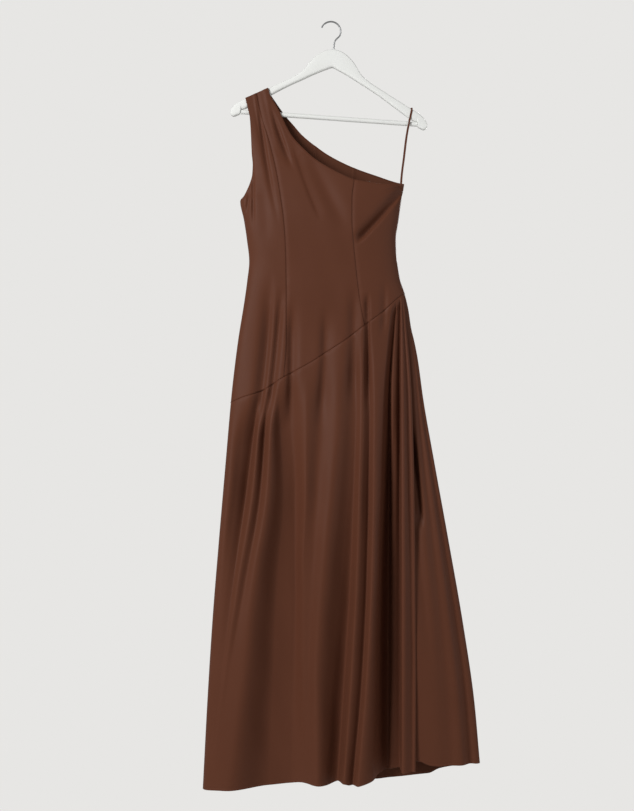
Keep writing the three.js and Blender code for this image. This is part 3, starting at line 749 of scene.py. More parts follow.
def cloth_wall(name, points, seam, outward, wall, materials):
    """A closed wall: outer points, inner points a wall's thickness behind them, and a rounded rim."""
    normals = seal(cloth_normals(points, outward), seam)
    inner = points - wall * normals
    rows, columns = points.shape[:2]
    index = np.arange(rows * columns).reshape(rows, columns)
    ring, inside = border(index)
    flat_points, flat_inner = points.reshape(-1, 3), inner.reshape(-1, 3)
    outwards = unit(flat_points[ring] - flat_points[inside])
    sewn = seam.reshape(-1, 3)[ring].any(1, keepdims=True)
    bulge = np.where(sewn, SEWN_BULGE, FREE_BULGE * wall)
    middle = (flat_points[ring] + flat_inner[ring]) / 2 + outwards * bulge
    vertices = np.vstack([flat_points, flat_inner, middle])
    a, b = index[:-1, :-1].ravel(), index[:-1, 1:].ravel()
    c, d = index[1:, 1:].ravel(), index[1:, :-1].ravel()
    outer_faces = np.column_stack([a, b, c, d])
    inner_faces = outer_faces[:, ::-1] + rows * columns
    mid, back = 2 * rows * columns + np.arange(ring.size), ring + rows * columns
    ring_next, mid_next, back_next = (np.roll(line, -1) for line in (ring, mid, back))
    rim_faces = np.vstack([
        np.column_stack([ring, mid, mid_next, ring_next]),
        np.column_stack([mid, back, back_next, mid_next]),
    ])
    faces = np.vstack([outer_faces, inner_faces, rim_faces])
    if outward < 0:
        faces = faces[:, ::-1]
    uv = cloth_uv(points).reshape(-1, 2)
    uv_all = np.vstack([uv, uv, uv[ring]])
    kinds = np.repeat([0, 1, 0], [len(outer_faces), len(inner_faces), len(rim_faces)])
    piece = add_mesh(name, vertices, faces.tolist(), materials)
    piece.data.polygons.foreach_set("material_index", kinds.astype(np.int32))
    corners = np.zeros(len(piece.data.loops), np.int32)
    piece.data.loops.foreach_get("vertex_index", corners)
    layer = piece.data.uv_layers.new(name="UVMap")
    layer.data.foreach_set("uv", (uv_all[corners] * MM).astype(np.float32).ravel())
    return piece


def add_mesh(name, vertices, faces, materials):
    """A smooth mesh object from points in millimetres and faces of any size."""
    mesh = bpy.data.meshes.new(name)
    mesh.from_pydata((vertices * MM).tolist(), [], faces)
    for material in materials:
        mesh.materials.append(material)
    mesh.polygons.foreach_set("use_smooth", np.ones(len(mesh.polygons), bool))
    mesh.update()
    piece = bpy.data.objects.new(name, mesh)
    bpy.context.scene.collection.objects.link(piece)
    return piece


def cloth_uv(points):
    """Across: length along each row from its first column. Along: length down each column."""
    across = np.linalg.norm(np.diff(points, axis=1), axis=-1).cumsum(1)
    down = np.linalg.norm(np.diff(points, axis=0), axis=-1).cumsum(0)
    rows, columns = points.shape[:2]
    uv = np.zeros((rows, columns, 2))
    uv[:, 1:, 0] = across
    uv[1:, :, 1] = -down
    return uv


MARK_CLEAR = 1.5  # no other column lies nearer to a marked place


def panel_columns(left_edge, right_edge, count, spacing, sewn, marks, mark_height):
    """x of each column at any height: between two edges, with close columns beside a sewn edge and at
    marked places. Each column is a share of the way across plus a distance in millimetres."""
    lead, trail = (EDGE_STEPS[-1] if side else 0 for side in sewn)
    share = spacing(np.linspace(0, 1, count))
    if len(marks):
        a, b = left_edge(mark_height), right_edge(mark_height)
        marked = (np.asarray(marks) - a - lead) / (b - a - lead - trail)
        near = np.abs(share[:, None] - marked[None, :]).min(1) * (b - a)
        share = np.sort(np.concatenate([share[near > MARK_CLEAR], marked]))
    offset = lead * (1 - share) - trail * share
    if sewn[0]:
        share = np.concatenate([np.zeros(EDGE_STEPS.size - 1), share])
        offset = np.concatenate([EDGE_STEPS[:-1], offset])
    if sewn[1]:
        share = np.concatenate([share, np.ones(EDGE_STEPS.size - 1)])
        offset = np.concatenate([offset, -EDGE_STEPS[-2::-1]])
    return (lambda z: left_edge(z) * (1 - share) + right_edge(z) * share + offset), share.size


def towards_left(t):
    return 1 - np.cos(t * math.pi / 2)


def towards_right(t):
    return np.sin(t * math.pi / 2)


def even(t):
    return t


# Rows lie this many times as far apart as columns.
BODICE_ROWS, FRONT_ROWS, BACK_ROWS = 1.25, 1.9, 1.6
BODICE_LEVEL = -450.0  # height at which a panel's columns are counted
BODICE_MORE = 12  # columns that every panel has besides


def bodice_panel(name, side, part, seams, sizes, materials):
    """One of three panels of the bodice's front (side -1) or back (side 1)."""
    strap_seam = line_through(seams["z"], seams["strap_side"])
    open_seam = line_through(seams["z"], seams["open_side"])
    left_edge, right_edge, spacing, sewn = {
        "strap_side": (left_at, lambda z: strap_seam(z) - SEAM / 2, towards_left, (False, True)),
        "centre": (
            lambda z: strap_seam(z) + SEAM / 2,
            lambda z: open_seam(z) - SEAM / 2,
            even,
            (True, True),
        ),
        "open_side": (lambda z: open_seam(z) + SEAM / 2, right_at, towards_right, (True, False)),
    }[part]
    top_at, surface = (top_front_at, bodice_front) if side < 0 else (top_back_at, bodice_back)
    neck_height = float(top_at(np.array(NECK_POINT)))
    holds_neck = left_edge(neck_height) < NECK_POINT < right_edge(neck_height)
    marks = NECK_POINT + np.array(NECK_TURN) if holds_neck else ()
    grid = BODICE_FINE * sizes["grid"]
    count = int((right_edge(BODICE_LEVEL) - left_edge(BODICE_LEVEL)) / grid) + BODICE_MORE
    x_at, columns = panel_columns(left_edge, right_edge, count, spacing, sewn, marks, neck_height)
    high, low = crossing(x_at, top_at, columns), crossing(x_at, bodice_foot_at, columns)
    rows = int((high.max() - low.min()) / grid / BODICE_ROWS)
    z = rows_between(high, low, rows, TURN_STEPS, EDGE_STEPS)
    x = x_at(z)
    y = surface(x, z, sizes)
    seam = np.zeros((*x.shape, 3), bool)
    seam[:, 0, 0], seam[:, -1, 0] = sewn
    if part == "strap_side":
        seam[:, 0, 1] = z[:, 0] < ARMHOLE_TIP + SEAM
    seam[:, -1, 1] = part == "open_side"
    seam[0, :, 1] |= x[0] < NECK_POINT + SEAM
    seam[-1, :, 2] = True
    y = np.where(seam[..., 1], side * SEAM / 2, y)
    points = np.stack([x, y, z], -1)
    return cloth_wall(name, points, seam, side, sizes["wall"], materials)


def pick(values, index):
    """Of values by line, row and column, those of each column's own line."""
    return np.moveaxis(np.moveaxis(values, -1, 0)[np.arange(index.size), index], 0, -1)


def between(lines, index, share, z):
    """A value that each line gives at every height, mixed from a column's own line to the next."""
    values = np.stack([line(z) for line in lines])
    return pick(values, index) * (1 - share) + pick(values, index + 1) * share


LEAST_COLUMNS = 3  # from one fold line to the next


def fold_columns(spans, grid):
    """For each column the line on its left and its share of the way to the next line."""
    counts = np.maximum(LEAST_COLUMNS, np.ceil(np.asarray(spans) / grid)).astype(int)
    index = np.repeat(np.arange(counts.size), counts)
    share = np.concatenate([np.arange(n) / n for n in counts])
    return np.append(index, counts.size - 1), np.append(share, 1.0)


LEAST_SPAN = 0.3  # least distance between two fold lines
KEEN = 1.4  # slope beside a sharp line against the straight way to the next line


def through_lines(places, recesses, sharp, index, share, z):
    """Depth across the fold lines: a cubic from each line to the next, flat at crests and troughs, where
    a sharp line has a slope of its own on each side."""
    place = np.stack([line(z) for line in places])
    depth = np.stack([line(z) for line in recesses])
    span = np.maximum(np.diff(place, axis=0), LEAST_SPAN)
    slope = np.diff(depth, axis=0) / span
    same_way = slope[:-1] * slope[1:] > 0
    total = np.where(same_way, slope[:-1] + slope[1:], 1)
    flat = np.zeros_like(slope[:1])
    tangent = np.concatenate([flat, np.where(same_way, 2 * slope[:-1] * slope[1:] / total, 0), flat])
    keen = sharp.reshape(-1, *([1] * (slope.ndim - 1)))
    start = tangent[:-1] + (KEEN * slope - tangent[:-1]) * keen[:-1]
    end = tangent[1:] + (KEEN * slope - tangent[1:]) * keen[1:]
    s = share
    cubic = pick(depth, index) * (1 - s * s * (3 - 2 * s)) + pick(depth, index + 1) * s * s * (3 - 2 * s)
    lean = pick(start * span, index) * s * (1 - s) ** 2 - pick(end * span, index) * s * s * (1 - s)
    return cubic + lean


def hem_groove(above):
    """The line of stitches along the hem, by the height above its edge."""
    return HEM_STITCH_DEEP * bell(above - HEM_WIDE, STITCH_WIDE)


def skirt_front(name, sizes, materials):
    """The front skirt: columns between each two fold lines, eased in depth from one to the next."""
    places = [line_through(FOLD_HEIGHTS, across) for across, _, _ in FRONT_FOLDS.values()]
    places[0] = left_at
    recesses = [line_through(FOLD_HEIGHTS, recess) for _, recess, _ in FRONT_FOLDS.values()]
    across = np.array([a for a, _, _ in FRONT_FOLDS.values()], float)
    recess = np.array([r for _, r, _ in FRONT_FOLDS.values()], float)
    sharp = np.array([turn for _, _, turn in FRONT_FOLDS.values()], float)
    spans = np.hypot(np.diff(across, axis=0), np.diff(recess, axis=0)).max(1)
    index, share = fold_columns(spans, sizes["grid"])
    spaced = np.where(index == 0, towards_left(share), share)

    def x_at(z):
        return between(places, index, spaced, z)

    def recess_at(z):
        return through_lines(places, recesses, sharp, index, spaced, z)

    high = crossing(x_at, skirt_top_at, index.size)
    low = crossing(x_at, hem_front_at, index.size)
    rows = int((high.max() - low.min()) / sizes["grid"] / FRONT_ROWS)
    z = rows_between(high, low, rows, EDGE_STEPS, HEM_STEPS)
    x = x_at(z)
    ramp = FOLD_RAMP + (SLIT_RAMP - FOLD_RAMP) * smooth((x - SLIT_RAMP_FROM) / SLIT_RAMP_WIDE)
    sunk = np.maximum(0, recess_at(z)) * smooth((skirt_top_at(x) - z) / ramp)
    sunk += waist_groove(x, z, sizes) + crease_depth(x, z, WAIST_CREASES) + hem_groove(z - hem_front_at(x))
    sunk += drape(x, z, sizes["drape"]) * np.clip((x - left_at(z)) / SIDE_CALM, 0, 1)
    y = -stand_out(x, z, front_depth_at(z)) + sunk
    seam = np.zeros((*x.shape, 3), bool)
    seam[:, 0, 1], seam[0, :, 2] = True, True
    y[:, 0] = -SEAM / 2
    return cloth_wall(name, np.stack([x, y, z], -1), seam, -1, sizes["wall"], materials)


def back_ring(turn, z):
    """A point of the back skirt's section by its turn: on the round, then the hip, then the back, each a
    stretch of a superellipse."""
    middle, half = middle_and_half(z)
    edge_share = np.clip((slit_edge_at(z) - slit_tuck_at(z) - middle) / half, 0, 1)
    comes_round = turn < 0
    power = np.where(comes_round, ROUND_POWER, RING_POWER)
    edge_angle = np.arccos(edge_share ** (power / 2))
    angle = np.where(comes_round, -turn * edge_angle, turn * math.pi)
    depth = np.where(comes_round, slit_gap_at(z) - front_depth_at(z), back_depth_at(z))
    x = middle + half * squared(np.cos(angle), power)
    return np.stack([x, depth * squared(np.abs(np.sin(angle)), power)], -1)


TURN_STEP = 0.002  # turn on each side of a point between which the section's direction is taken
BACK_LEVEL = -1500.0  # height at which the back skirt's columns are counted
BACK_LONGER = 1.15  # its section with folds against the section without
BACK_COARSER = 1.25  # its grid against the front's
CALM_TURN = 0.08  # turn from the right side over which the grooves start


def back_point(turn, z, recess):
    """The same point moved inwards by a fold's recess, square to the section."""
    before, after = np.maximum(turn - TURN_STEP, -1), np.minimum(turn + TURN_STEP, 1)
    along = unit(back_ring(after, z) - back_ring(before, z))
    inwards = np.stack([-along[..., 1], along[..., 0]], -1)
    return back_ring(turn, z) + inwards * recess[..., None]


def skirt_back(name, sizes, materials):
    """The back skirt, from its tucked edge round the right side and across the back."""
    recess_rows = zip(BACK_FOLDS["waist"], BACK_FOLDS["middle"], BACK_FOLDS["hem"])
    recesses = [line_through(BACK_FOLD_HEIGHTS, row) for row in recess_rows]
    turns = BACK_FOLDS["turn"]
    lower = back_ring(turns, np.full(turns.size, BACK_LEVEL))
    spans = np.linalg.norm(np.diff(lower, axis=0), axis=-1) * BACK_LONGER
    index, share = fold_columns(spans, sizes["grid"] * BACK_COARSER)
    spaced = np.where(index == index.max(), towards_right(share), share)
    turn = turns[index] * (1 - spaced) + turns[index + 1] * spaced

    def place_at(z):
        return back_point(turn, z, np.maximum(0, between(recesses, index, smooth(spaced), z)))

    def x_at(z):
        return place_at(z)[..., 0]

    comes_round = turn < 0
    high = crossing(x_at, skirt_top_at, index.size)
    low = np.where(
        comes_round,
        crossing(x_at, hem_round_at, index.size),
        crossing(x_at, hem_back_at, index.size),
    )
    rows = int((high.max() - low.min()) / sizes["grid"] / BACK_ROWS)
    z = rows_between(high, low, rows, EDGE_STEPS, HEM_STEPS)
    place = place_at(z)
    x, y = place[..., 0], place[..., 1]
    above_hem = z - np.where(comes_round, hem_round_at(x), hem_back_at(x))
    sunk = (waist_groove(x, z, sizes) + hem_groove(above_hem)) * smooth(np.abs(turn) / CALM_TURN)
    sunk += np.where(comes_round, crease_depth(x, z, SLIT_CREASES), 0)
    y -= np.where(comes_round, -1, 1) * sunk
    seam = np.zeros((*x.shape, 3), bool)
    seam[:, -1, 1], seam[0, :, 2] = True, True
    y[:, -1] = SEAM / 2
    return cloth_wall(name, np.stack([x, y, z], -1), seam, -1, sizes["wall"], materials)


def path_frames(path, across):
    """Directions along a path, and two square to it, the first as near as can be to a given one."""
    along = unit(np.gradient(path, axis=0))
    first = unit(across - along * (along * across).sum(1, keepdims=True))
    return along, first, np.cross(along, first)


CAP_TURNS = (90, 60, 30)  # degrees round a rounded end at which it has rings
CAP_TIP = 0.02  # size of the last ring against the section


def tube(name, path, section, across, materials, cap_turns=CAP_TURNS):
    """A closed section carried along a path. section holds the distances along the two directions square
    to the path. An end is rounded by smaller rings past it, or flat where cap_turns is empty."""
    along, first, second = path_frames(path, np.asarray(across, float))
    quarter = np.radians(cap_turns)
    count, more = len(path), quarter.size
    ring = np.clip(np.arange(-more, count + more), 0, count - 1)
    shrink = np.concatenate([np.cos(quarter), np.ones(count), np.cos(quarter[::-1])])
    shrink = np.maximum(shrink, CAP_TIP)[:, None, None]
    push = np.concatenate([-np.sin(quarter), np.zeros(count), np.sin(quarter[::-1])])
    centre = path[ring] + along[ring] * push[:, None] * np.abs(section).max()
    flat = section[None, :, :1] * first[ring, None] + section[None, :, 1:] * second[ring, None]
    return add_rings(name, centre[:, None] + flat * shrink, materials)


def add_rings(name, points, materials):
    """A closed mesh object from rings of points that follow each other, facing outwards."""
    rings, sides = points.shape[:2]
    i, k = np.meshgrid(np.arange(rings - 1), np.arange(sides), indexing="ij")
    a, b = i * sides + k, i * sides + (k + 1) % sides
    faces = np.column_stack([a.ravel(), b.ravel(), (b + sides).ravel(), (a + sides).ravel()]).tolist()
    faces += [list(range(sides))[::-1], list(range((rings - 1) * sides, rings * sides))]
    piece = add_mesh(name, points.reshape(-1, 3), faces, materials)
    if signed_volume(piece.data) < 0:
        piece.data.flip_normals()
    return piece


def signed_volume(mesh):
    """Volume inside a mesh, negative where its faces point inwards."""
    mesh.calc_loop_triangles()
    co = np.zeros(len(mesh.vertices) * 3, np.float32)
    mesh.vertices.foreach_get("co", co)
    corners = np.zeros(len(mesh.loop_triangles) * 3, np.int32)
    mesh.loop_triangles.foreach_get("vertices", corners)
    a, b, c = co.reshape(-1, 3)[corners.reshape(-1, 3)].transpose(1, 0, 2)
    return (a * np.cross(b, c)).sum() / 6


def oval(wide, thick, sides, power=2.0):
    """A closed section of a superellipse: its distances along and square to its width."""
    angle = np.linspace(0, 2 * math.pi, sides, endpoint=False)
    return np.column_stack([
        wide / 2 * squared(np.cos(angle), power),
        thick / 2 * squared(np.sin(angle), power),
    ])


def smooth_path(points, count):
    """Points spread evenly along a smooth line through a few given ones."""
    points = np.asarray(points, float)
    length = np.concatenate([[0], np.linalg.norm(np.diff(points, axis=0), axis=1).cumsum()])
    fine = np.linspace(0, length[-1], count)
    return np.column_stack([line_through(length, points[:, k])(fine) for k in range(3)])


def ribbon_strand(side, surface, arm, top, sizes):
    """One strand of the ribbon, from its sewn end inside the bodice up to the top of the arm."""
    inside = 2 * CAD_WALL + RIBBON_OFF
    beside = HANGER_THICK / 2 + RIBBON_OFF
    x, z = RIBBON_SEWN["x"], RIBBON_SEWN["z"]
    sewn = np.column_stack([x, surface(x + RIBBON_WIDE / 2 + SEAM, z, sizes) - side * inside, z])
    free = np.column_stack([RIBBON_FREE["x"], side * RIBBON_FREE["out"], RIBBON_FREE["z"]])
    back, out, drop = RIBBON_TURN.values()
    turned = np.column_stack([arm[0] - back, side * (beside + out), top - drop])
    return np.vstack([sewn, free, turned])


def ribbon_loop(name, sizes, materials):
    """The ribbon: a thin flat section carried up one strand, over the arm and down the other."""
    arm = from_hanger(RIBBON_OUT, float(arm_top_at(RIBBON_OUT)))
    top = arm[1] + RIBBON_OFF + RIBBON_CLEAR
    front = ribbon_strand(-1, bodice_front, arm, top, sizes)
    behind = ribbon_strand(1, bodice_back, arm, top, sizes)[::-1]
    path = smooth_path(np.vstack([front, [(arm[0], 0, top)], behind]), RIBBON_RINGS)
    section = oval(RIBBON_WIDE, RIBBON_THICK, RIBBON_SIDES, RIBBON_POWER)
    return tube(name, path, section, (1, 0, 0), materials)


def wood_section(top, low, turns):
    """A rectangle between a top and an underside, by its turn: round at the upper corners, and bevelled
    at the lower ones by longer and flatter arcs."""
    half = ((top - low) / 2)[:, None]
    lower = np.cos(turns) < 0
    most = half * MOST_ROUND
    high = np.minimum(np.where(lower, HANGER_BEVEL, HANGER_EDGE), most)
    wide = np.minimum(np.where(lower, BEVEL_DEEP * HANGER_BEVEL, HANGER_EDGE), most)
    up = np.sign(np.cos(turns)) * (half - high) + np.cos(turns) * high
    deep = np.sign(np.sin(turns)) * (HANGER_THICK / 2 - wide) + np.sin(turns) * wide
    return up + ((top + low) / 2)[:, None], deep


def both_arms(side):
    """A line along one arm's top or underside, carried over to the other arm."""
    out, z = side["out"], side["z"]
    return line_through(np.concatenate([-out[:0:-1], out]), np.concatenate([z[:0:-1], z]))


ARM_RINGS, TIP_RINGS = 90, 26
EVEN_END = 4  # the even rings of the arm and the bar end this far before their closer ones
EDGE_TURNS = np.linspace(2, 88, 7)  # degrees round one rounded edge
SEAT_STEPS = np.array((-2, -0.1, 0.05, 0.15, 0.3, 0.4))  # rings at the step of the bar's seat, out from it


def hanger_wood(name, materials):
    """The hanger's wooden body: rounded sections from one tip over the stem to the other."""
    reach = ARM_TOP["out"][-1]
    nearer = 1 - np.sin(np.linspace(0, math.pi / 2, TIP_RINGS))
    tip = reach - (reach - BAR_SEAT - SEAT_STEPS[-1]) * nearer
    arm = np.concatenate([np.linspace(0, BAR_SEAT - EVEN_END, ARM_RINGS), BAR_SEAT + SEAT_STEPS[:-1], tip])
    out = np.concatenate([-arm[:0:-1], arm])
    top, low = (both_arms(side)(out) for side in (ARM_TOP, ARM_LOW))
    arc = np.radians(EDGE_TURNS)
    turns = np.concatenate([arc, math.pi - arc[::-1], math.pi + arc, 2 * math.pi - arc[::-1]])[None]
    up, deep = wood_section(top, low, turns)
    x, z = from_hanger(out[:, None], up)
    return add_rings(name, np.stack([x, deep, z], -1), materials)


def hanger_bar(name, materials):
    """The trouser bar, a round rod between the two seats."""
    reach = BAR_SEAT - BAR_GAP
    half = reach - np.array(BAR_STEPS)
    even_half = reach - EVEN_END
    out = np.concatenate([-half, np.linspace(-even_half, even_half, BAR_RINGS), half[::-1]])
    x, z = from_hanger(out, BAR_HEIGHT)
    path = np.column_stack([x, np.zeros(out.size), z])
    return tube(name, path, oval(BAR_DIAMETER, BAR_DIAMETER, BAR_SIDES), (0, 1, 0), materials, ())


HOOK_ROUND = np.radians(np.arange(158, -23, -3))  # from the tip over the top
HOOK_BEND = table("side z", (3.4, -36.5), (0.4, -44), (0, -50), (0, -58.4))


def hanger_hook(name, materials):
    """The wire hook: a round, then a bend back to the stem, which stands on the wood."""
    middle = HOOK_WIRE / 2 - HOOK_RADIUS
    round_x, round_z = HOOK_RADIUS * np.cos(HOOK_ROUND), middle + HOOK_RADIUS * np.sin(HOOK_ROUND)
    x = np.concatenate([round_x, HANGER_CENTRE + HOOK_BEND["side"]])
    z = np.concatenate([round_z, HOOK_BEND["z"]])
    own = smooth_path(np.column_stack([x - HANGER_CENTRE, np.zeros(x.size), z]), HOOK_RINGS)
    x, z = from_hanger(own[:, 0], own[:, 2])
    path = np.column_stack([x, own[:, 1], z])
    return tube(name, path, oval(HOOK_WIRE, HOOK_WIRE, HOOK_SIDES), (0, 1, 0), materials)


def linear(code):
    """An sRGB hex colour as linear red, green, blue and 1."""
    parts = [int(code[i : i + 2], 16) / 255 for i in (1, 3, 5)]
    return tuple(c / 12.92 if c <= 0.04045 else ((c + 0.055) / 1.055) ** 2.4 for c in parts) + (1.0,)


def add_node(tree, kind, inputs=None, **settings):
    """One node with its settings, and each input given as a value or as the socket that feeds it."""
    made = tree.nodes.new(kind)
    for name, value in settings.items():
        setattr(made, name, value)
    for name, value in (inputs or {}).items():
        if isinstance(value, bpy.types.NodeSocket):
            tree.links.new(value, made.inputs[name])
        else:
            made.inputs[name].default_value = value
    return made


def new_material(name, colour):
    """A material with nodes, its Principled shader, and its tree."""
    material = bpy.data.materials.new(name)
    material.use_nodes = True
    material.diffuse_color = colour
    return material, material.node_tree, material.node_tree.nodes["Principled BSDF"]


def noise(tree, place, scale, detail, roughness=0.5):
    """The strength of a noise texture at a place."""
    inputs = {"Vector": place, "Scale": scale, "Detail": detail, "Roughness": roughness}
    return add_node(tree, "ShaderNodeTexNoise", inputs).outputs["Fac"]


def remap(tree, value, low, high, to_low, to_high):
    """A value carried from one range into another."""
    inputs = {"Value": value, "From Min": low, "From Max": high, "To Min": to_low, "To Max": to_high}
    return add_node(tree, "ShaderNodeMapRange", inputs).outputs["Result"]


def stretched(tree, place, scale):
    """A place scaled along each axis."""
    return add_node(tree, "ShaderNodeMapping", {"Vector": place, "Scale": scale}).outputs["Vector"]


def mix_and_bump(tree, shader, colours, tone, height, strength):
    """Feed the shader a mix of two colours by a tone, and a bump by a height."""
    inputs = {"Factor": tone, "A": colours[0], "B": colours[1]}
    base = add_node(tree, "ShaderNodeMix", inputs, data_type="RGBA")
    inputs = {"Height": height, "Strength": strength, "Distance": BUMP_HIGH}
    bump = add_node(tree, "ShaderNodeBump", inputs)
    tree.links.new(base.outputs["Result"], shader.inputs["Base Color"])
    tree.links.new(bump.outputs["Normal"], shader.inputs["Normal"])


def give(shader, **values):
    """Values of a shader's inputs, each named with _ for a space."""
    for name, value in values.items():
        shader.inputs[name.replace("_", " ")].default_value = value


BUMP_HIGH = 0.0004  # metres
THREAD_WIDE, THREAD_LONG = 0.0008, 0.022  # metres


def satin(name, colour, shade, roughness, gloss):
    """Polyester satin, woven with long floating threads: a soft directional sheen, fine lengthwise
    threads, and a faint unevenness of colour where the cloth is pressed or slack. Threads lie 0.1 mm
    apart and are drawn eight times as coarse so that they show."""
    material, tree, shader = new_material(name, colour)
    uv = add_node(tree, "ShaderNodeUVMap", uv_map="UVMap").outputs["UV"]
    fine = noise(tree, stretched(tree, uv, (1 / THREAD_WIDE, 1 / THREAD_LONG, 1)), 1.0, 2.0, 0.6)
    place = add_node(tree, "ShaderNodeTexCoord").outputs["Object"]
    tone = remap(tree, noise(tree, place, 7.0, 3.0, 0.55), 0.35, 0.65, 0.0, 0.22)
    mix_and_bump(tree, shader, (colour, shade), tone, fine, 0.12)
    rough = remap(tree, fine, 0.3, 0.7, roughness - 0.04, roughness + 0.05)
    tree.links.new(rough, shader.inputs["Roughness"])
    give(shader, Specular_IOR_Level=gloss, Anisotropic=0.35)
    give(shader, Sheen_Weight=0.05, Sheen_Roughness=0.4, Sheen_Tint=colour)
    return material


def lacquered_wood(name, colour, shade):
    """Turned and routed beech under white lacquer: semi-matt, with the grain just felt through it and
    slight unevenness of tone."""
    material, tree, shader = new_material(name, colour)
    place = add_node(tree, "ShaderNodeTexCoord").outputs["Object"]
    grain = noise(tree, stretched(tree, place, (12.0, 700.0, 420.0)), 1.0, 4.0, 0.6)
    tone = remap(tree, noise(tree, place, 14.0, 2.0), 0.35, 0.7, 0.0, 0.5)
    mix_and_bump(tree, shader, (colour, shade), tone, grain, 0.15)
    give(shader, Roughness=0.42, Specular_IOR_Level=0.4)
    return material


def plated_wire(name, colour):
    """Drawn steel wire with bright zinc plating: a soft mirror whose roughness varies finely."""
    material, tree, shader = new_material(name, colour)
    place = add_node(tree, "ShaderNodeTexCoord").outputs["Object"]
    rough = remap(tree, noise(tree, place, 900.0, 3.0), 0.0, 1.0, 0.34, 0.46)
    tree.links.new(rough, shader.inputs["Roughness"])
    give(shader, Base_Color=colour, Metallic=1.0)
    return material


def size_property(name, description, default):
    """A size in metres that a user may change."""
    return bpy.props.FloatProperty(name=name, description=description, default=default, unit="LENGTH")


def colour_property(name, description, code):
    """A colour that a user may change, from its sRGB code."""
    return bpy.props.FloatVectorProperty(
        name=name,
        description=description,
        default=linear(code),
        size=4,
        subtype="COLOR",
    )


class DressSizes(bpy.types.PropertyGroup):
    """Sizes of the cloth's finish."""

    wall: size_property("Cloth thickness", "Thickness of the cloth's wall", 0.0009)
    seam_deep: size_property("Seam depth", "Depth of the groove along a sewn seam", 0.0014)
    seam_wide: size_property("Seam half width", "Half width of that groove", 0.0012)
    pucker: size_property("Pucker", "Height of the soft puckers beside a seam", 0.0002)
    edge_roll: size_property("Edge roll", "How far a turned edge leans inwards", 0.001)
    drape: size_property("Unevenness", "Height of the slight waves in the hanging cloth", 0.0003)
    grid: size_property("Grid", "Distance between the cloth's columns of points", 0.0036)


class DressColours(bpy.types.PropertyGroup):
    """Colours of the dress and its hanger, linear."""

    satin: colour_property("Satin", "Face of the satin", "#5f3828")
    satin_shade: colour_property("Satin, darker", "Tone that the satin's unevenness mixes in", "#573223")
    reverse: colour_property("Reverse", "Dull back of the satin", "#5a3627")
    lacquer: colour_property("Lacquer", "White lacquer of the hanger", "#f8f9f6")
    lacquer_shade: colour_property("Lacquer, darker", "Thinner lacquer over the grain", "#f0f1ed")
    wire: colour_property("Wire", "Plated steel wire", "#8f9091")
    backdrop: colour_property("Backdrop", "Pale studio backdrop", "#e7e6e4")


def sizes_in_mm(context):
    """The cloth sizes in millimetres, by name."""
    sizes = context.scene.dress_sizes
    return {name: getattr(sizes, name) / MM for name in DressSizes.__annotations__}


def cloth_materials(context):
    """The satin's face and its reverse, made once."""
    colours = context.scene.dress_colours
    face = bpy.data.materials.get("polyester_satin")
    if face is None:
        face = satin("polyester_satin", colours.satin, colours.satin_shade, 0.5, 0.09)
        satin("satin_reverse", colours.reverse, colours.satin_shade, 0.65, 0.06)
    return [face, bpy.data.materials["satin_reverse"]]


def dress_up(piece, node):
    """A finished piece is hung under the root, and its CAD node is hidden."""
    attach(piece, "root")
    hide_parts(node)


class DRESS_OT_bodice(bpy.types.Operator):
    """Make the six panels of the bodice"""

    bl_idname = "dress.bodice"
    bl_label = "Bodice"

    def execute(self, context):
        sizes, materials = sizes_in_mm(context), cloth_materials(context)
        for side, word, seams in ((-1, "front", FRONT_SEAMS), (1, "back", BACK_SEAMS)):
            for part in ("strap_side", "centre", "open_side"):
                node = f"bodice_{word}_{part}"
                piece = bodice_panel(f"panel_{word}_{part}", side, part, seams, sizes, materials)
                dress_up(piece, node)
        return {"FINISHED"}


class DRESS_OT_skirt(bpy.types.Operator):
    """Make the front and the back of the skirt"""

    bl_idname = "dress.skirt"
    bl_label = "Skirt"

    def execute(self, context):
        sizes, materials = sizes_in_mm(context), cloth_materials(context)
        for node, make in (("skirt_front", skirt_front), ("skirt_back", skirt_back)):
            piece = make("satin_" + node, sizes, materials)
            dress_up(piece, node)
        return {"FINISHED"}


class DRESS_OT_ribbon(bpy.types.Operator):
    """Make the ribbon loop that hangs over the right arm"""

    bl_idname = "dress.ribbon"
    bl_label = "Ribbon loop"

    def execute(self, context):
        colours = context.scene.dress_colours
        material = satin("satin_ribbon", colours.satin, colours.satin_shade, 0.45, 0.12)
        piece = ribbon_loop("ribbon_loop", sizes_in_mm(context), [material])
        dress_up(piece, "hanger_loop")
        return {"FINISHED"}


class DRESS_OT_hanger(bpy.types.Operator):
    """Make the hanger's wood, its trouser bar and its wire hook"""

    bl_idname = "dress.hanger"
    bl_label = "Hanger"

    def execute(self, context):
        colours = context.scene.dress_colours
        wood = lacquered_wood("lacquered_beech", colours.lacquer, colours.lacquer_shade)
        wire = plated_wire("zinc_plated_wire", colours.wire)
        dress_up(hanger_wood("hanger_wood", [wood]), "hanger_body")
        dress_up(hanger_bar("trouser_bar", [wood]), "hanger_bar")
        dress_up(hanger_hook("wire_hook", [wire]), "hanger_hook")
        return {"FINISHED"}


# The photograph's frame: its scale in the hanger's plane and the hook's place in it.
PHOTO_WIDE, PHOTO_HIGH = 634, 811
MM_PER_PIXEL = 2.176
HOOK_PIXEL = (331.5, 22.5)
CAMERA_AWAY = 3000
SENSOR = 36

FLOOR_BELOW = 0.62  # metres from the hem down to the floor
FLOOR_REACH = 1.9
FLOOR_SIDES = 96

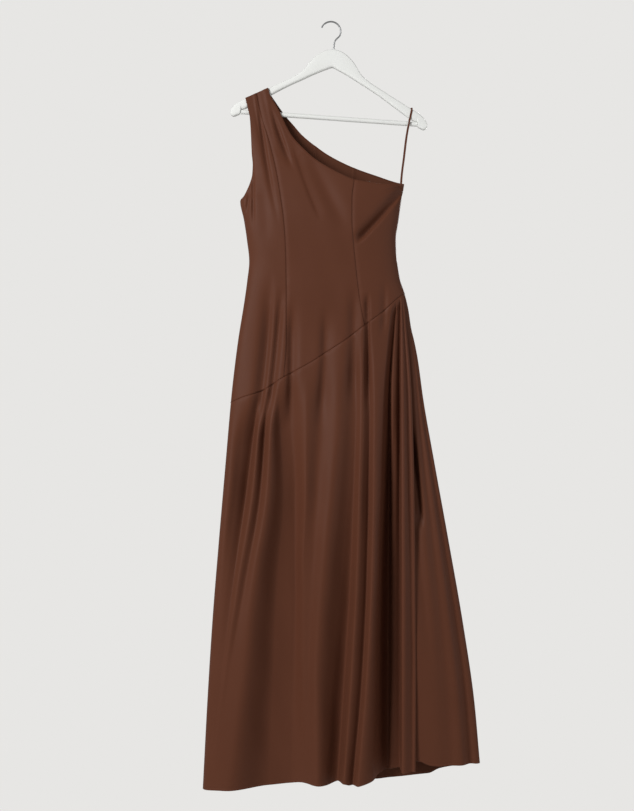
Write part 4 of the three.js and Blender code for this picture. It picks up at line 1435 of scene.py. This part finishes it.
# Tall soft lamps on both sides, so that a deep fold is shaded from both: place, width, height, power.
LAMPS = {
    "left_lamp": ((-2.4, -2.52, 0.45), 1.2, 2.2, 116),
    "right_lamp": ((2.6, -2.3, -0.3), 1.1, 2.4, 19),
    "edge_lamp": ((2.9, -0.2, -0.8), 0.6, 2.0, 12),
    "back_lamp": ((1.2, 2.8, 0.4), 1.2, 1.8, 48),
}
AMBIENT = 0.14
MIRRORED = 0.55  # how bright the backdrop is where a glossy surface mirrors it


class DRESS_OT_stage(bpy.types.Operator):
    """Make the floor, the lamps, the backdrop and the camera"""

    bl_idname = "dress.stage"
    bl_label = "Studio stage"

    def execute(self, context):
        scene = context.scene
        low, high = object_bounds()
        target = Vector(((low.x + high.x) / 2, 0, (low.z + high.z) / 2))
        make_floor(low.z - FLOOR_BELOW, scene.dress_colours.backdrop)
        for name, (place, wide, tall, power) in LAMPS.items():
            lamp = bpy.data.lights.new(name, "AREA")
            lamp.shape = "RECTANGLE"
            lamp.size = wide
            lamp.size_y = tall
            lamp.energy = power
            holder = bpy.data.objects.new(name, lamp)
            holder.location = place
            holder.rotation_euler = (target - Vector(place)).to_track_quat("-Z", "Y").to_euler()
            scene.collection.objects.link(holder)
        make_world(scene)
        make_camera(scene)
        scene.view_settings.view_transform = "Standard"
        return {"FINISHED"}


def make_floor(height, colour):
    """A round pale floor, well below the hem."""
    angle = np.linspace(0, 2 * math.pi, FLOOR_SIDES, endpoint=False)
    round_rim = np.column_stack([np.cos(angle), np.sin(angle)]) * FLOOR_REACH
    rim = np.column_stack([round_rim, np.full(FLOOR_SIDES, height)])
    material, _, shader = new_material("pale_floor", colour)
    give(shader, Base_Color=colour, Roughness=0.9)
    floor = add_mesh("floor", rim / MM, [list(range(FLOOR_SIDES))], [material])
    floor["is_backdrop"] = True


def make_world(scene):
    """An even pale backdrop, dimmer as a light than it looks, so that the folds keep their shade."""
    world = bpy.data.worlds.new("studio")
    world.use_nodes = True
    tree = world.node_tree
    tree.nodes.clear()
    colour = scene.dress_colours.backdrop
    seen = add_node(tree, "ShaderNodeBackground", {"Color": colour, "Strength": 1.0})
    ray = add_node(tree, "ShaderNodeLightPath")
    strength = add_node(
        tree,
        "ShaderNodeMapRange",
        {"Value": ray.outputs["Is Glossy Ray"], "To Min": AMBIENT, "To Max": MIRRORED},
    ).outputs["Result"]
    light = add_node(tree, "ShaderNodeBackground", {"Color": colour, "Strength": strength})
    mixed = add_node(tree, "ShaderNodeMixShader", {"Fac": ray.outputs["Is Camera Ray"]})
    tree.links.new(light.outputs["Background"], mixed.inputs[1])
    tree.links.new(seen.outputs["Background"], mixed.inputs[2])
    add_node(tree, "ShaderNodeOutputWorld", {"Surface": mixed.outputs["Shader"]})
    scene.world = world


def make_camera(scene):
    """Straight in front, at the height of the picture's middle, with the photograph's framing."""
    data = bpy.data.cameras.new("camera")
    frame_high = PHOTO_HIGH * MM_PER_PIXEL
    data.sensor_width = SENSOR
    data.lens = SENSOR * CAMERA_AWAY / frame_high
    data.clip_end = 50
    camera = bpy.data.objects.new("camera", data)
    x = (PHOTO_WIDE / 2 - HOOK_PIXEL[0]) * MM_PER_PIXEL
    z = (HOOK_PIXEL[1] - PHOTO_HIGH / 2) * MM_PER_PIXEL
    camera.location = Vector((x, -CAMERA_AWAY, z)) * MM
    camera.rotation_euler = (math.pi / 2, 0, 0)
    scene.collection.objects.link(camera)
    scene.camera = camera


class DRESS_PT_panel(bpy.types.Panel):
    """The dress's sizes, colours and pieces"""

    bl_label = "Dress on a hanger"
    bl_idname = "DRESS_PT_panel"
    bl_space_type = "VIEW_3D"
    bl_region_type = "UI"
    bl_category = "Dress"

    def draw(self, context):
        for group in (context.scene.dress_sizes, context.scene.dress_colours):
            for name in type(group).__annotations__:
                self.layout.prop(group, name)
        for operator in OPERATORS:
            self.layout.operator(operator.bl_idname)


OPERATORS = (DRESS_OT_bodice, DRESS_OT_skirt, DRESS_OT_ribbon, DRESS_OT_hanger, DRESS_OT_stage)
CLASSES = (DressSizes, DressColours, *OPERATORS, DRESS_PT_panel)


def register():
    for cls in CLASSES:
        bpy.utils.register_class(cls)
    bpy.types.Scene.dress_sizes = bpy.props.PointerProperty(type=DressSizes)
    bpy.types.Scene.dress_colours = bpy.props.PointerProperty(type=DressColours)


def unregister():
    del bpy.types.Scene.dress_colours
    del bpy.types.Scene.dress_sizes
    for cls in reversed(CLASSES):
        bpy.utils.unregister_class(cls)


def main():
    register()
    for name in ("hanger", "bodice", "skirt", "ribbon", "stage"):
        getattr(bpy.ops.dress, name)()


if __name__ == "__main__":
    main()
